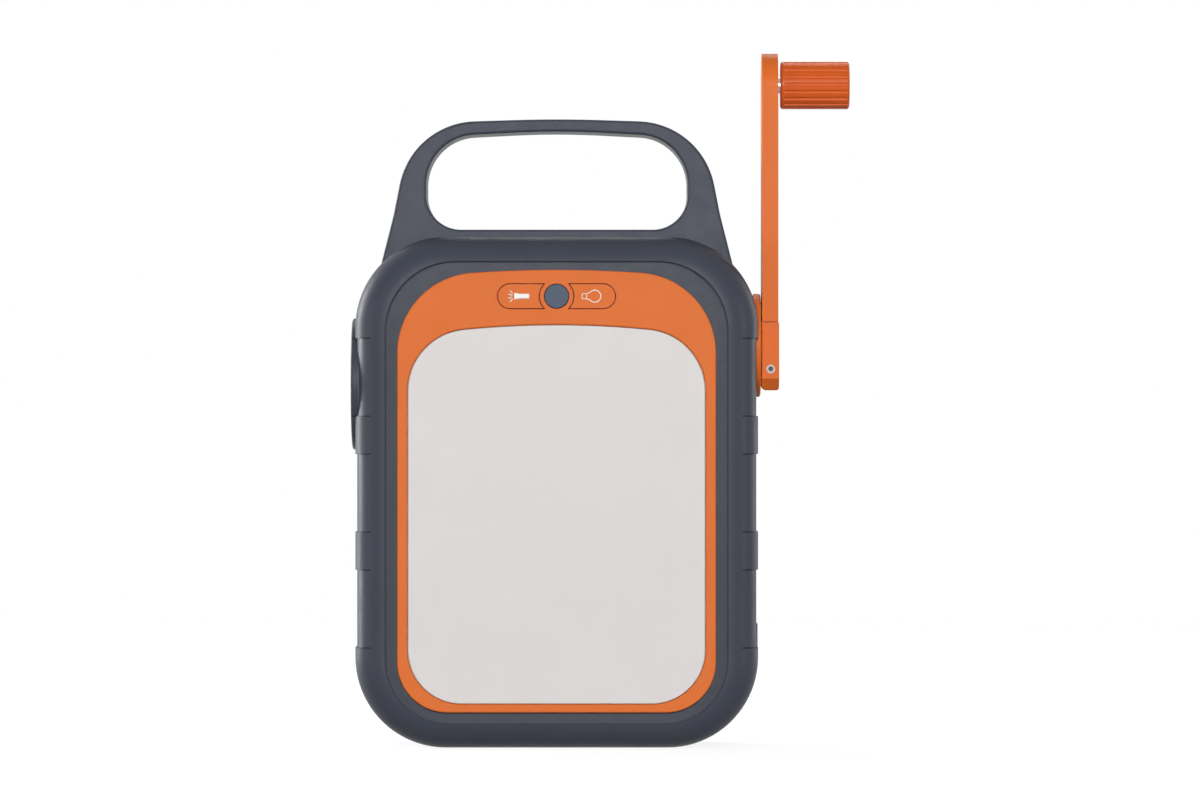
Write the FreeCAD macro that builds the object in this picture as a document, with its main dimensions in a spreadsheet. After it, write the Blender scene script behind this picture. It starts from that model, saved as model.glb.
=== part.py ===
import FreeCAD, Part
import math
import operator
import os

import Sketcher
from FreeCAD import Placement, Rotation, Vector

# A hand crank phone charger: an upright case with a carrying handle on top, a lantern panel in
# front, a torch on the left side and a folding crank on the right side that drives a generator.
# Millimetres, +Z up, front face towards -Y. The origin is the centre of the flat base.

SIZES = {
    # Case, seen from the front
    "case_width": 145.0,
    "case_height": 183.8,
    "case_depth": 61.0,
    "case_corner": 32.5,
    "edge_round": 11.0,
    "wall": 3.0,
    "front_wall": 5.0,
    # Gaps that recur
    "seat_gap": 0.1,
    "slide_gap": 0.2,
    "fit_gap": 0.05,
    "running_gap": 0.03,
    "press_gap": 0.02,
    # Groove where the two shells meet
    "parting_width": 0.4,
    "parting_depth": 0.4,
    # Grip recesses that wrap round both sides
    "grip_depth": 0.65,
    "grip_reach": 5.8,
    "grip_height": 28.0,
    "grip_pitch": 41.6,
    "grip_middle_drop": 92.1,
    # Bumper rim round the front face
    "rim_side": 11.3,
    "rim_end": 9.1,
    "rim_top_corner": 25.0,
    "rim_bottom_corner": 22.5,
    "rim_sink": 2.0,
    "rim_bevel": 0.5,
    # Bezel plate, inside the rim
    "bezel_side_margin": 4.05,
    "bezel_foot_margin": 3.9,
    "bezel_top_margin": 2.9,
    "bezel_crown": 427.0,
    "bezel_top_corner": 28.8,
    "bezel_bottom_corner": 18.0,
    "bezel_thickness": 2.2,
    "bezel_edge": 0.55,
    # Lantern diffuser, inside the bezel, and the light tray behind it
    "panel_side_margin": 3.65,
    "panel_foot_margin": 3.0,
    "panel_top_margin": 19.7,
    "panel_crown": 333.0,
    "panel_top_corner": 22.3,
    "panel_bottom_corner": 19.4,
    "panel_gap": 0.15,
    "panel_sink": 0.5,
    "panel_flange": 1.4,
    "panel_flange_thickness": 1.5,
    "tray_wall": 1.4,
    "tray_depth": 6.4,
    "board_thickness": 1.6,
    "led_width": 3.5,
    "led_height": 0.9,
    "led_pitch": 21.0,
    "led_columns": 5,
    "led_rows": 6,
    # Keys above the panel
    "key_drop": 9.5,
    "key_radius": 4.3,
    "key_half_height": 4.4,
    "key_reach": 21.1,
    "key_inner": 6.3,
    "key_gap": 0.15,
    "key_proud": 0.4,
    "key_travel": 0.8,
    "key_lip": 0.9,
    "key_lip_thickness": 0.8,
    "key_lip_gap": 0.2,
    "key_stem": 1.8,
    "switch_width": 6.0,
    "switch_length": 9.0,
    "switch_height": 3.0,
    "switch_setback": 1.0,
    "key_board_reach": 28.0,
    "key_board_post": 25.3,
    # Case screws and their columns
    "screw_radius": 1.5,
    "screw_head": 2.8,
    "screw_head_height": 2.6,
    "screw_dome": 0.56,
    "screw_seat_depth": 5.0,
    "screw_tip": 14.0,
    "column_radius": 4.2,
    "screw_side_inset": 9.5,
    "screw_side_drop": 21.2,
    "screw_foot_reach": 30.0,
    "screw_foot_height": 10.0,
    "screw_top_inset": 24.5,
    "screw_top_drop": 9.3,
    # Carrying handle, from the top and the sides of the case
    "handle_rise": 42.8,
    "handle_shoulder_drop": 1.65,
    "handle_shoulder_inset": 20.1,
    "handle_waist_rise": 8.1,
    "handle_waist_inset": 13.6,
    "handle_waist_round": 60.0,
    "handle_foot_drop": 12.8,
    "handle_foot_inset": 8.3,
    "handle_corner": 28.5,
    "handle_crown": 500.0,
    "handle_depth": 30.0,
    "handle_edge": 1.0,
    "loop_top_drop": 4.3,
    "loop_shoulder_drop": 2.4,
    "loop_bottom_rise": 2.75,
    "loop_inset": 25.4,
    "loop_top_corner": 18.0,
    "loop_bottom_corner": 12.5,
    "loop_crown": 300.0,
    "tenon_width": 9.0,
    "tenon_depth": 20.0,
    "tenon_reach": 3.5,
    "tenon_room": 0.4,
    # Torch on the left side
    "torch_drop": 52.9,
    "torch_margin": 6.7,
    "torch_proud": 1.6,
    "torch_seat_depth": 0.85,
    "torch_seal_thickness": 0.5,
    "torch_seal_inset": 0.4,
    "torch_step": 3.1,
    "torch_neck_gap": 0.2,
    "torch_neck_length": 9.5,
    "torch_hole_depth": 9.0,
    "torch_lip": 1.6,
    "torch_lens_wall": 2.0,
    "torch_window_wall": 1.1,
    "lens_thickness": 2.0,
    "reflector_rim": 1.5,
    "reflector_depth": 15.0,
    "reflector_wall": 1.2,
    "reflector_hole": 3.2,
    "emitter_radius": 2.8,
    "emitter_height": 3.4,
    "emitter_crown": 1.7,
    "torch_boss_wall": 0.7,
    "torch_boss_depth": 4.0,
    "nut_wall": 2.7,
    "nut_width": 3.2,
    "torch_board_radius": 9.0,
    # Charging ports in the middle recess of the left side, behind a hinged door
    "door_half_width": 14.0,
    "door_height": 22.6,
    "door_thickness": 1.8,
    "door_corner": 0.88,
    "door_lead": 0.45,
    "door_gap": 0.3,
    "door_pin": 0.6,
    "door_pin_length": 1.2,
    "port_block_depth": 3.5,
    "port_reach": 14.0,
    "port_pitch": 9.0,
    "port_room": 0.1,
    "port_wall": 0.5,
    "port_back_wall": 1.0,
    "port_post_inset": 2.0,
    "wide_port_width": 14.2,
    "wide_port_height": 7.0,
    "wide_tongue": 1.8,
    "wide_tongue_rise": 1.0,
    "small_port_width": 9.1,
    "small_port_height": 3.6,
    "small_tongue": 0.7,
    "tongue_side": 1.5,
    "tongue_setback": 2.0,
    # Crank drive on the right side
    "crank_drop": 38.9,
    "hub_radius": 18.7,
    "hub_proud": 1.15,
    "hub_thickness": 2.6,
    "hub_gap": 0.3,
    "hub_edge": 0.4,
    "hub_side_gap": 0.4,
    "hub_boss": 22.0,
    "hub_boss_depth": 2.6,
    "spacer_radius": 8.3,
    "spacer_height": 0.4,
    "shaft_radius": 3.0,
    "shaft_tail": 2.4,
    "clip_radius": 5.1,
    "clip_thickness": 0.6,
    "seal_radius": 6.0,
    "seal_thickness": 2.4,
    "seal_cover": 0.8,
    "bush_wall": 1.5,
    "bush_flange": 1.2,
    "bush_flange_thickness": 0.6,
    "hub_thread_depth": 13.5,
    # Gear train
    "plate_thickness": 2.5,
    "frame_face_inset": 21.0,
    "cover_face_inset": 7.0,
    "frame_front_inset": 13.5,
    "frame_rear_inset": 2.5,
    "cover_rear_inset": 4.0,
    "frame_foot_drop": 11.3,
    "frame_top_rise": 19.1,
    "frame_flange": 8.5,
    "post_radius": 2.5,
    "post_side_inset": 3.5,
    "post_end_inset": 4.0,
    "gear_screw_radius": 1.0,
    "gear_screw_head": 2.0,
    "gear_screw_head_height": 1.6,
    "gear_screw_dome": 0.4,
    "gear_screw_length": 9.0,
    "pressure_angle": 25.0,
    "tooth_height": 0.8,
    "tooth_foot": 1.05,
    "tooth_play": 0.14,
    "first_module": 1.0,
    "first_teeth": 32,
    "first_pinion_teeth": 10,
    "second_module": 0.8,
    "second_teeth": 40,
    "second_pinion_teeth": 10,
    "axle_setback": 6.0,
    "first_gear_width": 4.5,
    "second_gear_width": 3.5,
    "gear_side_gap": 0.7,
    "cover_side_gap": 1.4,
    "pinion_lead": 0.175,
    "axle_radius": 1.5,
    # Generator
    "can_radius": 13.5,
    "can_length": 20.0,
    "can_wall": 1.0,
    "can_cap": 1.5,
    "coil_inner": 9.6,
    "coil_length": 14.0,
    "magnet_radius": 8.9,
    "magnet_length": 12.0,
    "rotor_shaft": 1.2,
    "rotor_room": 3.0,
    # Folding crank arm, from the side wall and the crank axis
    "arm_standoff": 1.65,
    "arm_thickness": 5.85,
    "arm_width": 23.0,
    "fold_standoff": 4.75,
    "fold_drop": 8.6,
    "stow_height": 33.4,
    "yoke_rise": 8.3,
    "yoke_drop": 16.3,
    "yoke_standoff": 7.8,
    "yoke_web": 1.6,
    "yoke_slope": 4.25,
    "yoke_slope_depth": 3.6,
    "yoke_inner_round": 2.1,
    "yoke_outer_round": 1.05,
    "yoke_room": 0.75,
    "cheek_thickness": 4.0,
    "cheek_gap": 0.15,
    "arm_gap": 0.25,
    "web_gap": 0.15,
    "eye_radius": 2.8,
    "fold_pin": 1.6,
    "pin_key": 0.96,
    # Knob
    "knob_radius": 8.6,
    "knob_standoff": 1.0,
    "knob_length": 24.9,
    "knob_rim": 1.2,
    "knob_end_rim": 0.6,
    "knob_chamfer": 0.6,
    "flute_count": 20,
    "flute_radius": 0.8,
    "flute_depth": 0.45,
    "spindle_radius": 3.0,
    "spindle_head": 4.6,
    "spindle_head_height": 1.1,
    "spindle_head_gap": 0.32,
    "knob_cap_radius": 5.4,
    "knob_cap_thickness": 1.5,
    "knob_play": 0.08,
    # Pocket that takes the knob when the crank is folded
    "pocket_room": 0.65,
    "pocket_wall": 1.6,
    "pocket_corner": 1.5,
    "pocket_mouth_depth": 9.0,
    # Battery and main board
    "cell_radius": 9.2,
    "cell_length": 65.0,
    "cell_edge": 0.6,
    "cell_start": -42.0,
    "cell_low": 29.0,
    "cell_pitch": 20.0,
    "cell_floor": 1.0,
    "cradle_wall": 1.8,
    "cradle_depth": 13.0,
    "board_left": -45.0,
    "board_right": 20.0,
    "board_foot": 66.0,
    "board_top_drop": 33.8,
    "board_standoff": 4.9,
    "board_post": 2.5,
    "board_post_inset": 5.0,
    "chip_width": 9.0,
    "chip_height": 1.4,
    "chip_step": 18.0,
    "chip_row": 12.0,
    "capacitor_radius": 4.0,
    "capacitor_height": 11.0,
    "capacitor_pitch": 12.0,
    "capacitor_inset": 15.0,
    "capacitor_drop": 20.0,
    "choke_inner": 2.2,
    "choke_radius": 6.5,
    "choke_height": 6.0,
    "choke_inset": 20.0,
    "choke_rise": 16.0,
}

doc = FreeCAD.newDocument("crank_charger")
sheet = doc.addObject("Spreadsheet::Sheet", "Sizes")
for row, (alias, number) in enumerate(SIZES.items(), start=1):
    sheet.set(f"A{row}", alias)
    sheet.set(f"B{row}", str(number))
    sheet.setAlias(f"B{row}", alias)
doc.recompute()


class Size:
    """A size that knows its value and the formula that ties it to the sheet."""

    def __init__(self, value, formula):
        self.value = value
        self.formula = formula

    def __add__(self, other):
        return combined(self, "+", other)

    def __radd__(self, other):
        return combined(other, "+", self)

    def __sub__(self, other):
        return combined(self, "-", other)

    def __rsub__(self, other):
        return combined(other, "-", self)

    def __mul__(self, other):
        return combined(self, "*", other)

    def __rmul__(self, other):
        return combined(other, "*", self)

    def __truediv__(self, other):
        return combined(self, "/", other)

    def __neg__(self):
        return combined(0, "-", self)


SIGNS = {"+": operator.add, "-": operator.sub, "*": operator.mul, "/": operator.truediv}


def as_size(item):
    return item if isinstance(item, Size) else Size(float(item), f"({float(item)})")


def combined(left, sign, right):
    left, right = as_size(left), as_size(right)
    value = SIGNS[sign](left.value, right.value)
    return Size(value, f"({left.formula} {sign} {right.formula})")


def root(size):
    return Size(math.sqrt(size.value), f"sqrt({size.formula})")


class Dimensions:
    """Every cell of the sheet by its alias."""

    def __getattr__(self, alias):
        return Size(float(sheet.get(alias)), f"Sizes.{alias}")


d = Dimensions()


# Shapes that everything else is made with

PLANES = {"XY": "XY_Plane", "XZ": "XZ_Plane", "YZ": "YZ_Plane"}
ALONG = {
    "x": Rotation(Vector(0, 1, 0), 90),
    "y": Rotation(Vector(1, 0, 0), -90),
    "z": Rotation(),
}
pieces = []


def piece(shape):
    """Counts an object among the pieces of the charger."""
    pieces.append(shape)
    return shape


def bind(item, **properties):
    for name, size in properties.items():
        item.setExpression(name, as_size(size).formula)
    return item


def put(item, x, y, z, axis="z"):
    """Places an object and turns its own Z along an axis."""
    item.Placement = Placement(Vector(), ALONG[axis])
    for name, size in zip("xyz", (x, y, z)):
        item.setExpression(f"Placement.Base.{name}", as_size(size).formula)
    return item


def block(name, x, y, z):
    """A box between two places on each axis."""
    box = doc.addObject("Part::Box", name)
    bind(box, Length=x[1] - x[0], Width=y[1] - y[0], Height=z[1] - z[0])
    return put(box, x[0], y[0], z[0])


def on_axis(axis, centre, along):
    """A point from its place along an axis and its two other coordinates."""
    spot = list(centre)
    spot.insert("xyz".index(axis), along)
    return spot


def rod(name, axis, centre, radius, span):
    """A cylinder along an axis between two places on it."""
    cylinder = doc.addObject("Part::Cylinder", name)
    bind(cylinder, Radius=radius, Height=span[1] - span[0])
    return put(cylinder, *on_axis(axis, centre, span[0]), axis=axis)


def fuse(name, *shapes):
    joined = doc.addObject("Part::MultiFuse", name)
    joined.Shapes = list(shapes)
    joined.Refine = True
    return joined


def common(name, *shapes):
    shared = doc.addObject("Part::MultiCommon", name)
    shared.Shapes = list(shapes)
    shared.Refine = True
    return shared


def group(name, *shapes):
    """Separate solids kept as one object."""
    together = doc.addObject("Part::Compound", name)
    together.Links = list(shapes)
    return together


def cut(name, base, *tools):
    result = doc.addObject("Part::Cut", name)
    result.Base = base
    result.Tool = tools[0] if len(tools) == 1 else group(f"{name}_cuts", *tools)
    result.Refine = True
    return result


def pin_point(sketch, geometry, end, x, y):
    """Ties one point of a sketch to its two coordinates."""
    for kind, size in (("DistanceX", as_size(x)), ("DistanceY", as_size(y))):
        index = sketch.addConstraint(Sketcher.Constraint(kind, -1, 1, geometry, end, size.value))
        sketch.setExpression(f"Constraints[{index}]", size.formula)


def pin_radius(sketch, geometry, radius):
    radius = as_size(radius)
    index = sketch.addConstraint(Sketcher.Constraint("Radius", geometry, radius.value))
    sketch.setExpression(f"Constraints[{index}]", radius.formula)


def circle(x, y, radius):
    """A round outline about a point."""

    def draw(sketch):
        x_size, y_size = as_size(x), as_size(y)
        centre = Vector(x_size.value, y_size.value)
        index = sketch.addGeometry(Part.Circle(centre, Vector(0, 0, 1), as_size(radius).value))
        pin_point(sketch, index, 3, x, y)
        pin_radius(sketch, index, radius)

    return draw


def corner_arc(spot, before, after, radius):
    """The arc that rounds a corner, where it leaves both sides, and if it starts on the first."""
    to_before = (before - spot).normalize()
    to_after = (after - spot).normalize()
    half = to_before.getAngle(to_after) / 2
    reach = radius / math.tan(half)
    centre = spot + (to_before + to_after).normalize() * (radius / math.sin(half))
    first = spot + to_before * reach
    last = spot + to_after * reach
    turn = (first - centre).cross(last - centre).z > 0
    begin, finish = (first, last) if turn else (last, first)
    angles = [math.atan2(p.y - centre.y, p.x - centre.x) for p in (begin, finish)]
    arc = Part.ArcOfCircle(Part.Circle(centre, Vector(0, 0, 1), radius), *angles)
    return arc, first, last, turn


def profile(*corners):
    """A closed outline with straight sides. A corner with a third value is rounded to that radius."""

    def draw(sketch):
        spots = [Vector(as_size(c[0]).value, as_size(c[1]).value) for c in corners]
        count = len(spots)
        arcs = {}
        for i, corner in enumerate(corners):
            if len(corner) == 3:
                before, after = spots[i - 1], spots[(i + 1) % count]
                arcs[i] = corner_arc(spots[i], before, after, as_size(corner[2]).value)
        sides = []
        for i in range(count):
            after = (i + 1) % count
            begin = arcs[i][2] if i in arcs else spots[i]
            finish = arcs[after][1] if after in arcs else spots[after]
            sides.append(sketch.addGeometry(Part.LineSegment(begin, finish)))
        for i, corner in enumerate(corners):
            side_in, side_out = sides[i - 1], sides[i]
            if i not in arcs:
                sketch.addConstraint(Sketcher.Constraint("Coincident", side_in, 2, side_out, 1))
                pin_point(sketch, side_out, 1, corner[0], corner[1])
                continue
            arc, _, _, turn = arcs[i]
            index = sketch.addGeometry(arc)
            first_end, last_end = (1, 2) if turn else (2, 1)
            sketch.addConstraint(Sketcher.Constraint("Tangent", side_in, 2, index, first_end))
            sketch.addConstraint(Sketcher.Constraint("Tangent", side_out, 1, index, last_end))
            pin_radius(sketch, index, corner[2])
            mark = sketch.addGeometry(Part.Point(spots[i]), True)
            sketch.addConstraint(Sketcher.Constraint("PointOnObject", mark, 1, side_in))
            sketch.addConstraint(Sketcher.Constraint("PointOnObject", mark, 1, side_out))
            pin_point(sketch, mark, 1, corner[0], corner[1])

    return draw


def crowned(half_width, bottom, top, crown, top_corner, bottom_corner, grow=0):
    """An upright outline with round corners and an arched top, grown by a margin all round."""
    wide = as_size(half_width + grow)
    low, high = bottom - grow, top + grow
    arch, upper, lower = crown + grow, top_corner + grow, bottom_corner + grow
    arch_centre = high - arch
    upper_x, lower_x = wide - upper, wide - lower
    upper_z = arch_centre + root((arch - upper) * (arch - upper) - upper_x * upper_x)
    lower_z = low + lower

    def draw(sketch):
        tilt = math.atan2(upper_z.value - arch_centre.value, upper_x.value)

        def arc(x, z, radius, start, end):
            round_one = Part.Circle(Vector(x, z), Vector(0, 0, 1), radius.value)
            index = sketch.addGeometry(Part.ArcOfCircle(round_one, start, end))
            pin_radius(sketch, index, radius)
            return index

        def line(x0, z0, x1, z1, kind):
            index = sketch.addGeometry(Part.LineSegment(Vector(x0, z0), Vector(x1, z1)))
            sketch.addConstraint(Sketcher.Constraint(kind, index))
            return index

        quarter = math.pi / 2
        foot = line(-lower_x.value, low.value, lower_x.value, low.value, "Horizontal")
        right_foot = arc(lower_x.value, lower_z.value, lower, -quarter, 0)
        right = line(wide.value, lower_z.value, wide.value, upper_z.value, "Vertical")
        right_top = arc(upper_x.value, upper_z.value, upper, 0, tilt)
        over = arc(0, arch_centre.value, arch, tilt, math.pi - tilt)
        left_top = arc(-upper_x.value, upper_z.value, upper, math.pi - tilt, math.pi)
        left = line(-wide.value, upper_z.value, -wide.value, lower_z.value, "Vertical")
        left_foot = arc(-lower_x.value, lower_z.value, lower, math.pi, math.pi + quarter)
        chain = [foot, right_foot, right, right_top, over, left_top, left, left_foot]
        for this, following in zip(chain, chain[1:] + chain[:1]):
            sketch.addConstraint(Sketcher.Constraint("Tangent", this, 2, following, 1))
        sketch.addConstraint(Sketcher.Constraint("PointOnObject", over, 3, -2))
        for geometry, kind, size in (
            (right, "DistanceX", wide),
            (left, "DistanceX", -wide),
            (foot, "DistanceY", low),
        ):
            index = sketch.addConstraint(Sketcher.Constraint(kind, -1, 1, geometry, 1, size.value))
            sketch.setExpression(f"Constraints[{index}]", size.formula)
        index = sketch.addConstraint(
            Sketcher.Constraint("DistanceY", -1, 1, over, 3, arch_centre.value)
        )
        sketch.setExpression(f"Constraints[{index}]", arch_centre.formula)

    return draw


def sketch_on(body, plane, offset, loops):
    """A sketch on one of the body's own planes, moved along that plane's normal."""
    support = next(f for f in body.Origin.OriginFeatures if f.Role == PLANES[plane])
    sketch = body.newObject("Sketcher::SketchObject", f"{body.Name}_sketch")
    sketch.AttachmentSupport = [(support, "")]
    sketch.MapMode = "FlatFace"
    sketch.setExpression("AttachmentOffset.Base.z", as_size(offset).formula)
    for draw in loops:
        draw(sketch)
    return sketch


def pad(body, plane, span, *loops):
    """Material between two places along the plane's axis. XZ faces -Y, the others face up."""
    offset = -as_size(span[1]) if plane == "XZ" else span[0]
    feature = body.newObject("PartDesign::Pad", f"{body.Name}_pad")
    feature.Profile = sketch_on(body, plane, offset, loops)
    return bind(feature, Length=as_size(span[1]) - span[0])


def pocket(body, plane, span, *loops):
    """Takes material away between two places along the plane's axis, and checks that it did."""
    doc.recompute()
    before = body.Shape.Volume
    offset = -as_size(span[0]) if plane == "XZ" else span[1]
    feature = body.newObject("PartDesign::Pocket", f"{body.Name}_pocket")
    feature.Profile = sketch_on(body, plane, offset, loops)
    bind(feature, Length=as_size(span[1]) - span[0])
    doc.recompute()
    if body.Shape.Volume >= before:
        raise SystemExit(f"{feature.Label} takes nothing away")
    return feature


def soften(body, kind, size, wanted):
    """Rounds or chamfers the edges of the body's last feature that a test picks."""
    doc.recompute()
    base = body.Tip
    names = [f"Edge{i}" for i, edge in enumerate(base.Shape.Edges, start=1) if wanted(edge)]
    feature = body.newObject(f"PartDesign::{kind}", f"{body.Name}_{kind.lower()}")
    feature.Base = (base, names)
    return bind(feature, **{"Radius" if kind == "Fillet" else "Size": size})


def lies_at(axis, *places):
    """A test for edges that lie at one of some places on an axis."""
    values = [as_size(place).value for place in places]

    def test(edge):
        box = edge.BoundBox
        low, high = getattr(box, f"{axis}Min"), getattr(box, f"{axis}Max")
        return any(abs(low - value) < 1e-3 and abs(high - value) < 1e-3 for value in values)

    return test


def turned(name, axis, centre, *corners):
    """A turned piece: corners are radius and place along the axis."""
    body = doc.addObject("PartDesign::Body", name)
    revolution = body.newObject("PartDesign::Revolution", f"{name}_turn")
    sketch = sketch_on(body, "XZ", 0, [profile(*corners)])
    revolution.Profile = sketch
    revolution.ReferenceAxis = (sketch, ["V_Axis"])
    revolution.Angle = 360
    return put(body, *on_axis(axis, centre, 0), axis=axis)


def ring(name, axis, centre, inner, outer, span):
    """A plain ring or bush."""
    start, end = span
    return turned(name, axis, centre, (inner, start), (outer, start), (outer, end), (inner, end))


def disc(name, axis, centre, radius, span):
    """A plain turned disc."""
    start, end = span
    return turned(name, axis, centre, (0, start), (radius, start), (radius, end), (0, end))


def sides(make):
    """The same thing on the left and on the right: make gets a side's name and its sign."""
    return [make(label, side) for label, side in (("left", -1), ("right", 1))]


# Places that several pieces share

half_width = d.case_width / 2
half_depth = d.case_depth / 2
inner_half = half_width - d.wall
front_face = -half_depth
cavity_front = d.front_wall - half_depth
cavity_rear = half_depth - d.wall
ledge = front_face + d.rim_sink
bezel_front = ledge - d.bezel_thickness
panel_back = ledge + d.panel_flange_thickness
tray_back = panel_back + d.tray_depth
floor_left = d.grip_depth - half_width
grip_middle = d.case_height - d.grip_middle_drop

bezel_half = half_width - d.rim_side - d.bezel_side_margin
bezel_bottom = d.rim_end + d.bezel_foot_margin
bezel_top = d.case_height - d.rim_end - d.bezel_top_margin
panel_half = bezel_half - d.panel_side_margin
panel_bottom = bezel_bottom + d.panel_foot_margin
panel_top = bezel_top - d.panel_top_margin

key_height = bezel_top - d.key_drop
key_stem_reach = (d.key_reach + d.key_inner) / 2
stem_end = cavity_front + d.switch_setback
key_board_front = stem_end + d.seat_gap + d.key_travel + d.switch_height

screw_top_height = d.case_height - d.screw_top_drop
screw_top_reach = half_width - d.screw_top_inset
screw_seat = half_depth - d.screw_seat_depth
screw_places = [
    (side * reach, height)
    for side in (-1, 1)
    for reach, height in (
        (half_width - d.screw_side_inset, grip_middle - d.screw_side_drop),
        (d.screw_foot_reach, d.screw_foot_height),
        (screw_top_reach, screw_top_height),
    )
]

handle_top = d.case_height + d.handle_rise
loop_top = handle_top - d.loop_top_drop
loop_bottom = d.case_height + d.loop_bottom_rise
loop_reach = half_width - d.loop_inset
tenon_foot = screw_top_height - d.tenon_reach

torch_axis = (0, d.case_height - d.torch_drop)
torch_radius = half_depth - d.torch_margin
torch_neck = torch_radius - d.torch_step
torch_seat = floor_left + d.torch_seat_depth
lens_radius = torch_neck - d.torch_lens_wall

door_foot = grip_middle - d.door_height / 2
door_top = grip_middle + d.door_height / 2
door_back = floor_left + d.door_thickness
door_axis = (floor_left + d.door_thickness / 2, door_foot + d.door_thickness / 2)
port_mouth = door_back + d.slide_gap
wide_port_height = grip_middle + d.port_pitch / 2
small_port_height = grip_middle - d.port_pitch / 2

crank_height = d.case_height - d.crank_drop
crank_axis = (0, crank_height)
hub_outer = half_width + d.hub_proud
hub_inner = hub_outer - d.hub_thickness
yoke_back = hub_outer + d.spacer_height
seal_inner = hub_inner - d.hub_gap - d.seal_cover - d.seal_thickness
first_centres = d.first_module * (d.first_teeth + d.first_pinion_teeth) / 2
second_centres = d.second_module * (d.second_teeth + d.second_pinion_teeth) / 2
idler_drop = root(first_centres * first_centres - d.axle_setback * d.axle_setback)
idler_axis = (d.axle_setback, crank_height - idler_drop)
rotor_height = crank_height - idler_drop - second_centres
rotor_axis = (d.axle_setback, rotor_height)

frame_face = inner_half - d.frame_face_inset
cover_face = inner_half - d.cover_face_inset
cover_back = cover_face + d.plate_thickness
gear_screw_tip = cover_face - d.gear_screw_length
first_plane = cover_face - d.cover_side_gap - d.first_gear_width
second_plane = first_plane - d.gear_side_gap - d.second_gear_width

arm_inner = half_width + d.arm_standoff
arm_outer = arm_inner + d.arm_thickness
fold_reach = half_width + d.fold_standoff
fold_height = crank_height - d.fold_drop
fold_axis = (fold_reach, fold_height)
knob_arm = fold_height - d.stow_height
knob_height = fold_height + knob_arm
knob_start = arm_outer + d.knob_standoff
knob_end = knob_start + d.knob_length
yoke_top = crank_height + d.yoke_rise

# The folded knob hangs at its stow height, and it swings in on an arc about the fold.
knob_low = knob_arm + d.knob_radius
knob_far = knob_end - fold_reach
knob_swing = root(knob_far * knob_far + knob_low * knob_low)
pocket_end = fold_reach - knob_far - d.pocket_room
pocket_half = d.knob_radius + d.pocket_room
pocket_foot = fold_height - knob_swing - d.pocket_room
pocket_top = d.stow_height + d.knob_radius + d.pocket_room

board_top = d.case_height - d.board_top_drop
board_back = cavity_rear - d.board_standoff
board_front = board_back - d.board_thickness
board_post_places = [
    (x, z)
    for x in (d.board_left + d.board_post_inset, d.board_right - d.board_post_inset)
    for z in (d.board_foot + d.board_post_inset, board_top - d.board_post_inset)
]


def case_outline(inset, upper, lower, side=0, end=0):
    """The case's outline drawn in by an inset on every edge, and further at its sides and ends."""
    wide = half_width - inset - side
    low = as_size(inset) + end
    high = d.case_height - inset - end
    return profile(
        (-wide, low, lower), (wide, low, lower), (wide, high, upper), (-wide, high, upper)
    )


def rounded_block(name, inset, front, rear, edge):
    """The case's outline drawn in by an inset, between two depths, with round edges."""
    body = doc.addObject("PartDesign::Body", name)
    corner = d.case_corner - inset
    pad(body, "XZ", (front, rear), case_outline(inset, corner, corner))
    soften(body, "Fillet", edge, lies_at("Y", front, rear))
    return body


def spread(name, places, make):
    return [make(f"{name}_{i}", *place) for i, place in enumerate(places, start=1)]


# Case

def case_form():
    """The hollow case with its bosses and every opening, before it is split at mid depth."""
    outside = rounded_block("case_outside", 0, front_face, half_depth, d.edge_round)
    cavity_round = d.edge_round - d.wall
    hollow = rounded_block("case_hollow", d.wall, cavity_front, cavity_rear, cavity_round)
    walls = cut("case_walls", outside, hollow)

    torch_boss = rod(
        "torch_boss_form",
        "x",
        torch_axis,
        torch_radius + d.torch_boss_wall,
        (-half_width, d.torch_boss_depth - inner_half),
    )
    hub_boss = rod(
        "hub_boss_form", "x", crank_axis, d.hub_boss, (inner_half - d.hub_boss_depth, half_width)
    )
    port_margin = d.door_gap + d.door_pin_length + d.wall
    port_block = block(
        "port_block",
        (-half_width, d.port_block_depth - inner_half),
        (-d.door_half_width - port_margin, d.door_half_width + port_margin),
        (door_foot - d.wall, door_top + d.wall),
    )
    columns = spread(
        "screw_column",
        screw_places,
        lambda name, x, z: rod(name, "y", (x, z), d.column_radius, (cavity_front, cavity_rear)),
    )
    filled = fuse("case_with_bosses", walls, torch_boss, hub_boss, port_block, *columns)
    inside = common("case_trimmed", filled, outside)

    beyond = half_width + d.wall
    lined_half = pocket_half + d.pocket_wall + d.seat_gap
    cuts = [
        grip_recesses(),
        rod(
            "torch_seat_cut", "x", torch_axis, torch_radius + d.torch_neck_gap, (-beyond, torch_seat)
        ),
        rod(
            "torch_hole",
            "x",
            torch_axis,
            torch_neck + d.torch_neck_gap,
            (-beyond, d.torch_hole_depth - half_width),
        ),
        rod(
            "hub_recess",
            "x",
            crank_axis,
            d.hub_radius + d.hub_side_gap,
            (hub_inner - d.hub_gap, beyond),
        ),
        rod("shaft_hole", "x", crank_axis, d.shaft_radius + d.seat_gap, (seal_inner, beyond)),
        rod(
            "seal_bore",
            "x",
            crank_axis,
            d.seal_radius + d.fit_gap,
            (seal_inner - d.wall, seal_inner + d.seal_thickness),
        ),
        block(
            "knob_mouth",
            (half_width - d.pocket_mouth_depth, beyond),
            (-lined_half, lined_half),
            (
                pocket_foot - d.pocket_wall - d.seat_gap,
                pocket_top + d.pocket_wall + d.seat_gap,
            ),
        ),
        *door_cuts(),
        *sides(tenon_slot),
    ]
    return cut("case_form", inside, *cuts)


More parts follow.
